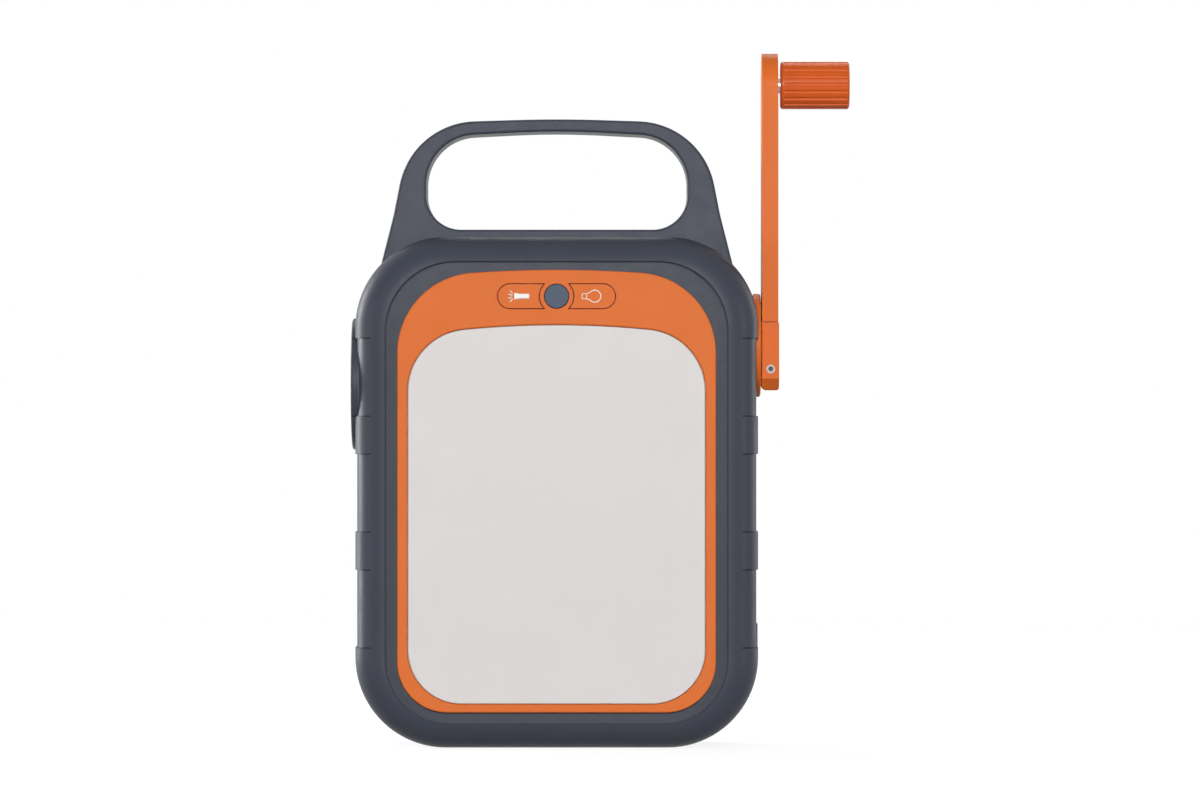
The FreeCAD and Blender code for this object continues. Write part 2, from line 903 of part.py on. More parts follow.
def grip_recesses():
    """Three shallow bands on each side that follow the case's round edges."""
    grip = d.grip_depth
    floor = rounded_block(
        "grip_floor", grip, front_face + grip, half_depth - grip, d.edge_round - grip
    )
    near, far = half_width - d.grip_reach, half_width + d.wall
    depths = (-d.case_depth, d.case_depth)
    bands = []
    for label, span in (("left", (-far, -near)), ("right", (near, far))):
        for step in (-1, 0, 1):
            middle = grip_middle + step * d.grip_pitch
            heights = (middle - d.grip_height / 2, middle + d.grip_height / 2)
            bands.append(block(f"grip_band_{label}_{step + 2}", span, depths, heights))
    return cut("grip_recesses", group("grip_bands", *bands), floor)


def tenon_slot(label, side):
    middle = side * screw_top_reach
    reach = d.tenon_width / 2 + d.seat_gap
    depth = d.tenon_depth / 2 + d.seat_gap
    return block(
        f"tenon_slot_{label}",
        (middle - reach, middle + reach),
        (-depth, depth),
        (tenon_foot - d.tenon_room, d.case_height + d.wall),
    )


def door_cuts():
    """The pocket of the port door, its pin holes and the windows of the two sockets."""
    reach = d.door_half_width + d.door_gap
    pin_end = reach + d.door_pin_length
    beyond = -half_width - d.wall
    window = (beyond, d.wall + d.port_block_depth - inner_half)
    return [
        block(
            "door_pocket",
            (beyond, port_mouth),
            (-reach, reach),
            (door_foot - d.door_gap, door_top + d.door_gap),
        ),
        rod("door_pin_hole", "y", door_axis, d.door_pin + d.fit_gap, (-pin_end, pin_end)),
        block("wide_window", window, *wide_port(d.port_room)),
        block("small_window", window, *small_port(d.port_room)),
    ]


def port_outline(width, height, middle, grow):
    """A socket's outline as a span across the case and one up it."""
    return (
        (-width / 2 - grow, width / 2 + grow),
        (middle - height / 2 - grow, middle + height / 2 + grow),
    )


def wide_port(grow):
    return port_outline(d.wide_port_width, d.wide_port_height, wide_port_height, grow)


def small_port(grow):
    return port_outline(d.small_port_width, d.small_port_height, small_port_height, grow)


def case_halves():
    """Front and rear shell, split at mid depth and cut for the lantern, the keys and the screws."""
    whole = case_form()
    far = d.case_width
    heights = (-d.wall, d.case_height + d.wall)
    front_half = block("front_half", (-far, far), (-d.case_depth, 0), heights)
    rear_half = block("rear_half", (-far, far), (0, d.case_depth), heights)
    front_shell(common("front_form", whole, front_half))
    rear_shell(common("rear_form", whole, rear_half))


def rim_cut():
    """The space inside the bumper rim, with a bevel round its mouth."""
    bevel = d.rim_bevel
    upper, lower = d.rim_top_corner, d.rim_bottom_corner
    side, end = d.rim_side, d.rim_end
    body = doc.addObject("PartDesign::Body", "rim_cut")
    mouth = case_outline(-bevel, upper + bevel, lower + bevel, side, end)
    pad(body, "XZ", (front_face - d.wall, front_face + bevel), mouth)
    soften(body, "Chamfer", bevel, lies_at("Y", front_face + bevel))
    pad(body, "XZ", (front_face, ledge), case_outline(0, upper, lower, side, end))
    return body


def front_shell(front):
    """The front half with its rim, the openings for lantern and keys, and the screw pilots."""
    through = (ledge - d.wall, cavity_front + d.wall)
    window = doc.addObject("PartDesign::Body", "lantern_window")
    pad(window, "XZ", through, panel(d.panel_flange + d.panel_gap))
    room = d.key_lip + d.key_gap * 2
    keys = block(
        "key_window",
        (-d.key_reach - room, d.key_reach + room),
        through,
        (key_height - d.key_half_height - room, key_height + d.key_half_height + room),
    )
    pilot_end = -d.screw_tip - d.screw_radius
    pilots = spread(
        "pilot_hole",
        screw_places,
        lambda name, x, z: rod(name, "y", (x, z), d.screw_radius + d.fit_gap, (pilot_end, 0)),
    )
    posts = sides(
        lambda label, side: rod(
            f"key_board_post_{label}",
            "y",
            (side * d.key_board_post, key_height),
            d.key_stem,
            (cavity_front - d.wall / 2, key_board_front),
        )
    )
    piece(cut("front_shell", fuse("front_with_posts", front, *posts), rim_cut(), window, keys, *pilots))


def rear_shell(rear):
    """The rear half with its screw holes and sinks, the main board's posts and the parting groove."""
    hole = d.screw_radius + d.slide_gap
    sink = d.screw_head + d.slide_gap
    holes = spread(
        "screw_hole",
        screw_places,
        lambda name, x, z: rod(name, "y", (x, z), hole, (-d.wall, half_depth)),
    )
    sinks = spread(
        "screw_sink",
        screw_places,
        lambda name, x, z: rod(name, "y", (x, z), sink, (screw_seat, d.case_depth)),
    )
    posts = spread(
        "main_board_post",
        board_post_places,
        lambda name, x, z: rod(name, "y", (x, z), d.board_post, (board_back, half_depth - d.wall / 2)),
    )
    piece(cut("rear_shell", fuse("rear_with_posts", rear, *posts), parting_groove(), *holes, *sinks))


def parting_groove():
    """A narrow groove round the case, next to the plane where the two shells meet."""
    depth = d.parting_depth
    core = rounded_block(
        "parting_core", depth, front_face + depth, half_depth - depth, d.edge_round - depth
    )
    far = d.case_width
    band = block(
        "parting_band", (-far, far), (0, d.parting_width), (-d.wall, d.case_height + d.wall)
    )
    return cut("parting_groove", band, core)


def screw(name, axis, centre, radius, head, head_height, dome, seat, tip):
    """A pan head screw: the head sits beyond the seat, the shank runs back to its tip."""
    return turned(
        name,
        axis,
        centre,
        (0, tip),
        (radius, tip),
        (radius, seat),
        (head, seat),
        (head, seat + head_height / 2),
        (head - dome, seat + head_height),
        (0, seat + head_height),
    )


def case_screws():
    screws = spread(
        "case_screw",
        screw_places,
        lambda name, x, z: screw(
            name,
            "y",
            (x, z),
            d.screw_radius,
            d.screw_head,
            d.screw_head_height,
            d.screw_dome,
            screw_seat,
            -d.screw_tip,
        ),
    )
    piece(group("case_screws", *screws))


def handle():
    """A closed loop that sits on the shoulders of the case, with a tenon down into each of them."""
    depth = (-d.handle_depth / 2, d.handle_depth / 2)
    foot = (half_width - d.handle_foot_inset, d.case_height - d.handle_foot_drop)
    waist = (half_width - d.handle_waist_inset, d.case_height + d.handle_waist_rise)
    shoulder = (half_width - d.handle_shoulder_inset, handle_top - d.handle_shoulder_drop)
    outline = profile(
        (-foot[0], foot[1]),
        foot,
        (*waist, d.handle_waist_round),
        (*shoulder, d.handle_corner),
        (0, handle_top, d.handle_crown),
        (-shoulder[0], shoulder[1], d.handle_corner),
        (-waist[0], waist[1], d.handle_waist_round),
    )
    loop_shoulder = loop_top - d.loop_shoulder_drop
    loop = profile(
        (-loop_reach, loop_bottom, d.loop_bottom_corner),
        (loop_reach, loop_bottom, d.loop_bottom_corner),
        (loop_reach, loop_shoulder, d.loop_top_corner),
        (0, loop_top, d.loop_crown),
        (-loop_reach, loop_shoulder, d.loop_top_corner),
    )
    body = doc.addObject("PartDesign::Body", "handle_form")
    pad(body, "XZ", depth, outline, loop)
    soften(body, "Fillet", d.handle_edge, lies_at("Y", *depth))
    gap = d.seat_gap
    saddle = rounded_block(
        "handle_saddle", -gap, front_face - gap, half_depth + gap, d.edge_round + gap
    )
    half = d.tenon_width / 2
    tenons = sides(
        lambda label, side: block(
            f"handle_tenon_{label}",
            (side * screw_top_reach - half, side * screw_top_reach + half),
            (-d.tenon_depth / 2, d.tenon_depth / 2),
            (tenon_foot, loop_bottom),
        )
    )
    holes = sides(
        lambda label, side: rod(
            f"tenon_hole_{label}",
            "y",
            (side * screw_top_reach, screw_top_height),
            d.screw_radius + gap,
            (-d.tenon_depth, d.tenon_depth),
        )
    )
    joined = fuse("handle_with_tenons", cut("handle_loop", body, saddle), *tenons)
    piece(cut("handle", joined, *holes))


# Lantern front

def panel(grow):
    """The outline of the lantern panel, grown by a margin."""
    return crowned(
        panel_half,
        panel_bottom,
        panel_top,
        d.panel_crown,
        d.panel_top_corner,
        d.panel_bottom_corner,
        grow,
    )


def front_plate():
    """The bezel: a plate round the lantern panel with a hole for each key."""
    body = doc.addObject("PartDesign::Body", "bezel_plate")
    rim = crowned(
        bezel_half,
        bezel_bottom,
        bezel_top,
        d.bezel_crown,
        d.bezel_top_corner,
        d.bezel_bottom_corner,
    )
    pad(body, "XZ", (bezel_front, ledge), rim, panel(0))
    soften(body, "Fillet", d.bezel_edge, lies_at("Y", bezel_front))
    gap = d.key_gap
    span = (bezel_front - d.wall, ledge + d.wall)
    round_hole = rod("round_key_hole", "y", (0, key_height), d.key_radius + gap, span)
    side_holes = sides(lambda label, side: side_key(f"key_hole_{label}", side, gap, gap, *span))
    piece(cut("front_bezel", body, round_hole, *side_holes))


def side_key(name, side, grow, inner_grow, front, back):
    """A key beside the round one: a half round outer end and a hollow inner end."""
    half = d.key_half_height
    middle = side * (d.key_reach - half)
    inner = side * d.key_radius
    span = (middle, inner) if side < 0 else (inner, middle)
    bar = block(
        f"{name}_bar", span, (front, back), (key_height - half - grow, key_height + half + grow)
    )
    end = rod(f"{name}_end", "y", (middle, key_height), half + grow, (front, back))
    hollow = rod(
        f"{name}_hollow",
        "y",
        (0, key_height),
        d.key_inner - inner_grow,
        (front - d.wall, back + d.wall),
    )
    return cut(name, fuse(f"{name}_blank", bar, end), hollow)


def keys():
    """Three keys, each with a lip behind the bezel and a stem that reaches towards its switch."""
    cap_front = bezel_front - d.key_proud
    lip_front = ledge + d.key_lip_gap
    lip_back = lip_front + d.key_lip_thickness
    lip = d.key_radius + d.key_lip
    power = turned(
        "power_button",
        "y",
        (0, key_height),
        (0, cap_front),
        (d.key_radius, cap_front, d.key_proud),
        (d.key_radius, lip_front),
        (lip, lip_front),
        (lip, lip_back),
        (d.key_stem, lip_back),
        (d.key_stem, stem_end),
        (0, stem_end),
    )
    piece(power)

    def key(name, side):
        cap = side_key(f"{name}_cap", side, 0, 0, cap_front, lip_front)
        flange = side_key(f"{name}_lip", side, d.key_lip, -d.key_lip_gap, lip_front, lip_back)
        place = (side * key_stem_reach, key_height)
        stem = rod(f"{name}_stem", "y", place, d.key_stem, (lip_back, stem_end))
        return fuse(name, cap, flange, stem)

    piece(key("torch_button", -1))
    piece(key("lantern_button", 1))

    half = d.key_half_height + d.key_lip + d.key_gap
    board = block(
        "key_board",
        (-d.key_board_reach, d.key_board_reach),
        (key_board_front, key_board_front + d.board_thickness),
        (key_height - half, key_height + half),
    )
    piece(board)
    wide, high = d.switch_width / 2, d.switch_length / 2
    places = (("left", -key_stem_reach), ("middle", as_size(0)), ("right", key_stem_reach))
    switches = [
        block(
            f"key_switch_{label}",
            (x - wide, x + wide),
            (key_board_front - d.switch_height, key_board_front),
            (key_height - high, key_height + high),
        )
        for label, x in places
    ]
    piece(group("key_switches", *switches))


def lantern():
    """The diffuser, the light tray behind it, and the board that closes it with its lights."""
    face = bezel_front + d.panel_sink
    diffuser = doc.addObject("PartDesign::Body", "diffuser")
    pad(diffuser, "XZ", (face, panel_back), panel(-d.panel_gap))
    soften(diffuser, "Fillet", d.panel_sink, lies_at("Y", face))
    pad(diffuser, "XZ", (ledge, panel_back), panel(d.panel_flange))
    piece(diffuser)

    rim = d.panel_flange
    tray = doc.addObject("PartDesign::Body", "light_tray")
    pad(tray, "XZ", (panel_back, tray_back), panel(rim), panel(rim - d.tray_wall))
    piece(tray)

    board = doc.addObject("PartDesign::Body", "lantern_board")
    pad(board, "XZ", (tray_back, tray_back + d.board_thickness), panel(rim))
    piece(board)

    middle = (panel_bottom + panel_top) / 2
    half = d.led_width / 2
    lights = []
    for column in range(round(d.led_columns.value)):
        for row in range(round(d.led_rows.value)):
            x = (column - (d.led_columns - 1) / 2) * d.led_pitch
            z = middle + (row - (d.led_rows - 1) / 2) * d.led_pitch
            name = f"lantern_led_{column + 1}_{row + 1}"
            depths = (tray_back - d.led_height, tray_back)
            lights.append(block(name, (x - half, x + half), depths, (z - half, z + half)))
    piece(group("lantern_leds", *lights))


# Torch

def torch():
    """A ringed lens with a reflector behind it, clamped through the left wall by a nut."""
    face = -half_width - d.torch_proud
    flange_back = torch_seat - d.torch_seal_thickness
    neck_end = flange_back + d.torch_neck_length
    lens_front = face + d.torch_lip
    window = lens_radius - d.torch_window_wall
    bore = lens_radius + d.seat_gap
    bezel = turned(
        "torch_bezel",
        "x",
        torch_axis,
        (window, face + d.torch_lip / 2),
        (window + d.torch_lip, face),
        (torch_radius, face, d.torch_lip / 2),
        (torch_radius, flange_back),
        (torch_neck, flange_back),
        (torch_neck, neck_end),
        (bore, neck_end),
        (bore, lens_front),
        (window, lens_front),
    )
    piece(bezel)
    inner, outer = torch_neck + d.seat_gap, torch_radius - d.torch_seal_inset
    piece(ring("torch_seal", "x", torch_axis, inner, outer, (flange_back, torch_seat)))
    lens_back = lens_front + d.lens_thickness
    piece(disc("torch_lens", "x", torch_axis, lens_radius, (lens_front, lens_back)))
    piece(reflector(lens_back))
    apex = lens_back + d.reflector_depth
    board_span = (apex, apex + d.board_thickness)
    piece(disc("torch_board", "x", torch_axis, d.torch_board_radius, board_span))
    emitter = turned(
        "torch_led",
        "x",
        torch_axis,
        (0, apex - d.emitter_height),
        (d.emitter_crown, apex - d.emitter_height),
        (d.emitter_radius, apex - d.emitter_crown),
        (d.emitter_radius, apex),
        (0, apex),
    )
    piece(emitter)
    boss_end = d.torch_boss_depth - inner_half
    nut_span = (boss_end, boss_end + d.nut_width)
    bore = torch_neck + d.fit_gap
    piece(ring("torch_nut", "x", torch_axis, bore, torch_neck + d.nut_wall, nut_span))


def reflector(front):
    """A dish whose depth grows with the square of its radius, with a flat rim behind the lens."""
    mouth, hole, wall = lens_radius - d.reflector_rim, d.reflector_hole, d.reflector_wall
    curve = d.reflector_depth / (mouth * mouth - hole * hole)
    steps = 5
    radii = [mouth + (hole - mouth) * (step / steps) for step in range(steps + 1)]
    inner = [(radius, front + curve * (mouth * mouth - radius * radius)) for radius in radii]
    outer = [(radius + wall, place) for radius, place in inner[1:]]
    return turned(
        "torch_reflector",
        "x",
        torch_axis,
        (lens_radius, front),
        (lens_radius, front + wall),
        (mouth + wall, front + wall),
        *outer,
        *reversed(inner),
    )


# Charging ports

def ports():
    """Two sockets on a small upright board, and the hinged door that closes them off."""
    front = port_mouth + d.port_reach
    span = (port_mouth, front)
    piece(socket("wide_socket", wide_port, span, d.wide_tongue, wide_port_height + d.wide_tongue_rise))
    piece(socket("small_socket", small_port, span, d.small_tongue, small_port_height))
    board = block(
        "port_board",
        (front, front + d.board_thickness),
        (-d.door_half_width, d.door_half_width),
        (door_foot - d.wall, door_top + d.wall),
    )
    piece(board)
    post_reach = d.door_half_width - d.port_post_inset
    posts = [
        rod(
            f"port_post_{label}",
            "x",
            (side * post_reach, door_top),
            d.key_stem,
            (d.port_block_depth - inner_half, front),
        )
        for side, label in ((-1, "front"), (1, "rear"))
    ]
    piece(group("port_posts", *posts))
    port_door()


def port_door():
    """The door's leaf with a round foot, and a pin at each end of that foot."""
    half = d.door_half_width
    leaf = doc.addObject("PartDesign::Body", "door_leaf")
    outline = profile(
        (floor_left, door_foot, d.door_corner),
        (door_back, door_foot, d.door_corner),
        (door_back, door_top),
        (floor_left + d.door_lead, door_top),
        (floor_left, door_top - d.door_lead),
    )
    pad(leaf, "XZ", (-half, half), outline)
    pin_end = half + d.door_pin_length
    pins = rod("door_pins", "y", door_axis, d.door_pin, (-pin_end, pin_end))
    piece(fuse("port_door", leaf, pins))


def socket(name, outline, span, tongue, level):
    """A sheet metal shell, open towards the door, round a thin contact tongue."""
    mouth, back = span
    shell = block(f"{name}_shell", span, *outline(0))
    room_span = (mouth - d.wall, back - d.port_back_wall)
    room = block(f"{name}_room", room_span, *outline(-d.port_wall))
    across, _ = outline(-d.tongue_side)
    blade = block(
        f"{name}_tongue",
        (mouth + d.tongue_setback, back - d.port_wall),
        across,
        (level - tongue / 2, level + tongue / 2),
    )
    return fuse(name, cut(f"{name}_hollow", shell, room), blade)


# Crank drive

def gear_form(teeth, module, width, bore, tooth_middle):
    """A spur gear about X with involute flanks, its first tooth centred on an angle."""
    pitch = module * teeth / 2
    tip, foot = pitch + d.tooth_height.value * module, pitch - d.tooth_foot.value * module
    pressure = math.radians(d.pressure_angle.value)
    base = pitch * math.cos(pressure)
    half_tooth = math.pi / teeth / 2 - d.tooth_play.value / pitch / 4

    def half_angle(radius):
        """Half a tooth's angle at a radius; below the base circle the flank runs straight in."""
        turn = math.acos(base / radius) if radius > base else 0
        involute = math.tan(turn) - turn
        return half_tooth + math.tan(pressure) - pressure - involute

    radii = [foot, pitch, tip] if foot >= base else [foot, base, pitch, tip]
    flank = [(radius, half_angle(radius)) for radius in radii]
    corners = []
    for tooth in range(teeth):
        middle = tooth_middle + 2 * math.pi * tooth / teeth
        for radius, half in flank:
            corners.append((radius, middle - half))
        for radius, half in reversed(flank):
            corners.append((radius, middle + half))
    points = [Vector(0, r * math.cos(angle), r * math.sin(angle)) for r, angle in corners]
    outline = Part.Wire(Part.makePolygon([*points, points[0]]))
    solid = Part.Face(outline).extrude(Vector(width, 0, 0))
    hole = Part.makeCylinder(bore, width * 2, Vector(-width / 2, 0, 0), Vector(1, 0, 0))
    return solid.cut(hole)


def gear_piece(name, shape, start, axis):
    """A finished gear shape put on its axle."""
    gear = doc.addObject("Part::Feature", name)
    gear.Shape = shape.removeSplitter()
    return piece(put(gear, start, *axis))


def direction(start, end):
    """The angle in the YZ plane from one axle to another."""
    across = as_size(end[0]) - start[0]
    along = as_size(end[1]) - start[1]
    return math.atan2(along.value, across.value)


def gear_train():
    """Three meshing shafts. Where two gears meet, a tooth of one faces a gap of the other."""
    first, second = d.first_module.value, d.second_module.value
    first_teeth = round(d.first_teeth.value)
    first_pinion = round(d.first_pinion_teeth.value)
    second_teeth = round(d.second_teeth.value)
    second_pinion = round(d.second_pinion_teeth.value)
    width, narrow = d.first_gear_width.value, d.second_gear_width.value
    to_idler = direction(crank_axis, idler_axis)
    to_rotor = direction(idler_axis, rotor_axis)

    bore = d.shaft_radius.value + d.press_gap.value
    wheel = gear_form(first_teeth, first, width, bore, to_idler)
    gear_piece("crank_gear", wheel, first_plane, crank_axis)

    bore = d.axle_radius.value + d.fit_gap.value
    phase = to_idler + math.pi + math.pi / first_pinion
    reach = narrow + d.gear_side_gap.value + width
    pinion = gear_form(first_pinion, first, reach, bore, phase)
    wheel = gear_form(second_teeth, second, narrow, bore, to_rotor)
    gear_piece("idler_gear", wheel.fuse(pinion), second_plane, idler_axis)

    bore = d.rotor_shaft.value + d.press_gap.value
    phase = to_rotor + math.pi + math.pi / second_pinion
    reach = narrow + d.pinion_lead.value * 2
    pinion = gear_form(second_pinion, second, reach, bore, phase)
    gear_piece("generator_pinion", pinion, second_plane - d.pinion_lead, rotor_axis)


def gearbox():
    """A frame plate with a foot against the rear wall, and a cover plate on four posts."""
    front, rear = front_face + d.frame_front_inset, cavity_rear - d.frame_rear_inset
    heights = (rotor_height - d.frame_foot_drop, crank_height + d.frame_top_rise)
    post_places = [
        (y, z)
        for y in (front + d.post_side_inset, rear - d.post_side_inset)
        for z in (heights[0] + d.post_end_inset, heights[1] - d.post_end_inset)
    ]
    frame_back = frame_face + d.plate_thickness
    plate = block("frame_plate", (frame_face, frame_back), (front, rear), heights)
    foot = block(
        "frame_foot_plate",
        (frame_face, frame_face + d.frame_flange),
        (rear - d.plate_thickness / 2, cavity_rear - d.slide_gap),
        heights,
    )
    post_start = frame_face + d.plate_thickness / 2
    posts = spread(
        "frame_post",
        post_places,
        lambda name, y, z: rod(name, "x", (y, z), d.post_radius, (post_start, cover_face)),
    )
    bush_bore = d.shaft_radius + d.bush_wall + d.press_gap
    axle_bore = d.axle_radius + d.press_gap
    pilot = d.gear_screw_radius + d.fit_gap
    through = (frame_face - d.wall, frame_back + d.wall)
    pilot_span = (gear_screw_tip - d.gear_screw_radius, cover_face + d.wall)
    cuts = [
        rod("frame_bush_bore", "x", crank_axis, bush_bore, through),
        rod("frame_axle_bore", "x", idler_axis, axle_bore, through),
        rod("frame_rotor_bore", "x", rotor_axis, d.rotor_room, through),
        *spread(
            "post_pilot",
            post_places,
            lambda name, y, z: rod(name, "x", (y, z), pilot, pilot_span),
        ),
    ]
    piece(cut("gearbox_frame", fuse("frame_form", plate, foot, *posts), *cuts))

    cover_depths = (front, cavity_rear - d.cover_rear_inset)
    cover = block("cover_plate", (cover_face, cover_back), cover_depths, heights)
    through = (cover_face - d.wall, cover_back + d.wall)
    cuts = [
        rod("cover_bush_bore", "x", crank_axis, bush_bore, through),
        rod("cover_axle_bore", "x", idler_axis, axle_bore, through),
        *spread(
            "cover_hole",
            post_places,
            lambda name, y, z: rod(name, "x", (y, z), pilot, through),
        ),
    ]
    piece(cut("gearbox_cover", cover, *cuts))
    screws = spread(
        "gearbox_screw",
        post_places,
        lambda name, y, z: screw(
            name,
            "x",
            (y, z),
            d.gear_screw_radius,
            d.gear_screw_head,
            d.gear_screw_head_height,
            d.gear_screw_dome,
            cover_back,
            gear_screw_tip,
        ),
    )
    piece(group("gearbox_screws", *screws))

    axle_span = (frame_face + d.seat_gap, cover_back - d.seat_gap)
    piece(rod("idler_axle", "x", idler_axis, d.axle_radius, axle_span))

    def bush(name, start, flange_start):
        bore = d.shaft_radius + d.running_gap
        outer = d.shaft_radius + d.bush_wall
        sleeve_span = (start, start + d.plate_thickness)
        collar_span = (flange_start, flange_start + d.bush_flange_thickness)
        sleeve = ring(f"{name}_sleeve", "x", crank_axis, bore, outer, sleeve_span)
        collar = ring(f"{name}_collar", "x", crank_axis, bore, outer + d.bush_flange, collar_span)
        return fuse(name, sleeve, collar)

    inner = bush("inner_bush", frame_face, frame_face - d.bush_flange_thickness)
    outer = bush("outer_bush", cover_face, cover_back)
    piece(group("crank_bushes", inner, outer))


def crank():
    """Everything that turns with the crank: shaft, clip, hub, screw, yoke and fold pin."""
    shaft = d.shaft_radius
    snug = shaft + d.press_gap
    clip_back = frame_face - d.bush_flange_thickness - d.clip_thickness
    shaft_end = frame_face - d.shaft_tail
    thread = d.screw_radius + d.fit_gap
    thread_end = yoke_back - d.hub_thread_depth
    spindle = turned(
        "crank_shaft",
        "x",
        crank_axis,
        (0, shaft_end),
        (shaft, shaft_end),
        (shaft, hub_outer),
        (thread, hub_outer),
        (thread, thread_end),
        (0, thread_end),
    )
    piece(spindle)
    clip_span = (clip_back, clip_back + d.clip_thickness)
    piece(ring("shaft_clip", "x", crank_axis, snug, d.clip_radius, clip_span))
    hub = turned(
        "crank_hub",
        "x",
        crank_axis,
        (snug, hub_inner),
        (d.hub_radius, hub_inner),
        (d.hub_radius, hub_outer - d.hub_edge),
        (d.hub_radius - d.hub_edge, hub_outer),
        (d.spacer_radius, hub_outer),
        (d.spacer_radius, yoke_back),
        (snug, yoke_back),
    )
    piece(hub)
    web_face = yoke_back + d.yoke_web
    tip = thread_end + d.screw_radius
    hub_screw = turned(
        "hub_screw",
        "x",
        crank_axis,
        (0, tip),
        (d.screw_radius, tip),
        (d.screw_radius, web_face - d.screw_head + d.screw_radius),
        (d.screw_head, web_face),
        (0, web_face),
    )
    piece(hub_screw)
    piece(yoke(web_face))
    reach = d.arm_width / 2
    pin_span = (-reach - d.seat_gap, reach - d.seat_gap)
    pin = rod("fold_pin_rod", "y", fold_axis, d.fold_pin, pin_span)
    key = doc.addObject("PartDesign::Body", "fold_pin_key")
    turns = [math.pi * i / 3 for i in range(6)]
    hexagon = [
        (fold_reach + d.pin_key * math.cos(turn), fold_height + d.pin_key * math.sin(turn))
        for turn in turns
    ]
    pad(key, "XZ", (-d.arm_width, d.fold_pin - reach), profile(*hexagon))
    piece(cut("fold_pin", pin, key))
    seal_span = (seal_inner, seal_inner + d.seal_thickness)
    piece(ring("shaft_seal", "x", crank_axis, shaft + d.fit_gap, d.seal_radius, seal_span))


def yoke(web_face):
    """Two cheeks on a thin web, each with a sloped foot, that hold the fold pin."""
    reach = d.arm_width / 2
    inner = reach - d.cheek_thickness
    outer = half_width + d.yoke_standoff
    foot = crank_height - d.yoke_drop
    far = d.arm_width
    side = profile(
        (yoke_back, foot, d.yoke_inner_round),
        (outer, foot, d.yoke_outer_round),
        (outer, yoke_top, d.knob_chamfer),
        (yoke_back, yoke_top),
    )
    cheeks = doc.addObject("PartDesign::Body", "yoke_cheeks")
    pad(cheeks, "XZ", (-reach, reach), side)
    beyond = (yoke_back - far, outer + far)
    room = block("yoke_slot_room", beyond, (-inner, inner), (foot - far, yoke_top + far))
    web_heights = (fold_height + d.eye_radius + d.yoke_room, yoke_top)
    web_half = inner + d.cheek_thickness / 2
    web = block("yoke_web_plate", (yoke_back, web_face), (-web_half, web_half), web_heights)
    walls = fuse("yoke_form", cut("yoke_slot", cheeks, room), web)

    slopes = doc.addObject("PartDesign::Body", "yoke_slopes")
    shallow = reach - d.yoke_slope_depth
    front, rear = [
        profile(
            (sign * far, foot - far),
            (sign * shallow, foot - far),
            (sign * shallow, foot),
            (sign * reach, foot + d.yoke_slope),
            (sign * far, foot + d.yoke_slope),
        )
        for sign in (-1, 1)
    ]
    pad(slopes, "YZ", beyond, front, rear)
    pin_hole = rod("yoke_pin_hole", "y", fold_axis, d.fold_pin + d.press_gap, (-far, far))
    screw_room, head_room = d.screw_radius + d.fit_gap, d.screw_head + d.fit_gap
    cone_foot = web_face - d.screw_head + d.screw_radius
    screw_hole = turned(
        "yoke_screw_hole",
        "x",
        crank_axis,
        (0, yoke_back - d.wall),
        (screw_room, yoke_back - d.wall),
        (screw_room, cone_foot),
        (head_room, web_face),
        (head_room, web_face + d.wall),
        (0, web_face + d.wall),
    )
    return cut("crank_yoke", walls, slopes, pin_hole, screw_hole)


def arm():
    """A flat arm with a round top, narrowed to a tongue that turns on the fold pin."""
    half = d.arm_width / 2
    thickness = (arm_inner, arm_outer)
    foot = yoke_top + d.arm_gap
    blade = block("arm_blade", thickness, (-half, half), (foot, knob_height))
    top = rod("arm_top", "x", (0, knob_height), half, thickness)
    tongue_half = half - d.cheek_thickness - d.cheek_gap
    tongue_inner = yoke_back + d.yoke_web + d.web_gap
    tongue = block(
        "arm_tongue",
        (tongue_inner, arm_outer),
        (-tongue_half, tongue_half),
        (fold_height, foot + d.cheek_thickness),
    )
    eye = rod("arm_eye", "y", fold_axis, d.eye_radius, (-tongue_half, tongue_half))
    bore = rod("arm_eye_bore", "y", fold_axis, d.fold_pin + d.fit_gap, (-half, half))
    seat = rod(
        "spindle_seat",
        "x",
        (0, knob_height),
        d.spindle_radius + d.press_gap,
        (arm_inner - d.wall, arm_outer + d.wall),
    )
    piece(cut("crank_arm", fuse("arm_form", blade, top, tongue, eye), bore, seat))


def knob():
    """A fluted grip that turns on a headed spindle, closed by a cap."""
    axis = (0, knob_height)
    cap_seat = knob_end - d.knob_cap_thickness
    head_end = cap_seat - d.spindle_head_gap
    head_start = head_end - d.spindle_head_height
    room = head_start - d.spindle_head_gap
    spindle = d.spindle_radius
    start = arm_inner + d.seat_gap
    shaft = turned(
        "knob_spindle",
        "x",
        axis,
        (0, start),
        (spindle, start),
        (spindle, head_start),
        (d.spindle_head, head_start),
        (d.spindle_head, head_end),
        (0, head_end),
    )
    piece(shaft)
    bore = spindle + d.knob_play
    shoulder = d.knob_radius - d.knob_chamfer
    grip = turned(
        "knob_grip",
        "x",
        axis,
        (bore, knob_start),
        (shoulder, knob_start),
        (d.knob_radius, knob_start + d.knob_chamfer),
        (d.knob_radius, knob_end - d.knob_chamfer),
        (shoulder, knob_end),
        (d.knob_cap_radius, knob_end),
        (d.knob_cap_radius, room),
        (bore, room),
    )
    flute_centre = d.knob_radius - d.flute_depth + d.flute_radius
    flute_span = (knob_start + d.knob_rim, knob_end - d.knob_end_rim)
    flute = pocket(grip, "XY", flute_span, circle(flute_centre, 0, d.flute_radius))
    pattern = grip.newObject("PartDesign::PolarPattern", "knob_flutes")
    pattern.Originals = [flute]
    pattern.Axis = (flute.Profile[0], ["N_Axis"])
    pattern.Angle = 360
    bind(pattern, Occurrences=d.flute_count)
    grip.Tip = pattern
    piece(grip)
    cap = d.knob_cap_radius - d.fit_gap
    piece(disc("knob_cap", "x", axis, cap, (cap_seat, knob_end)))


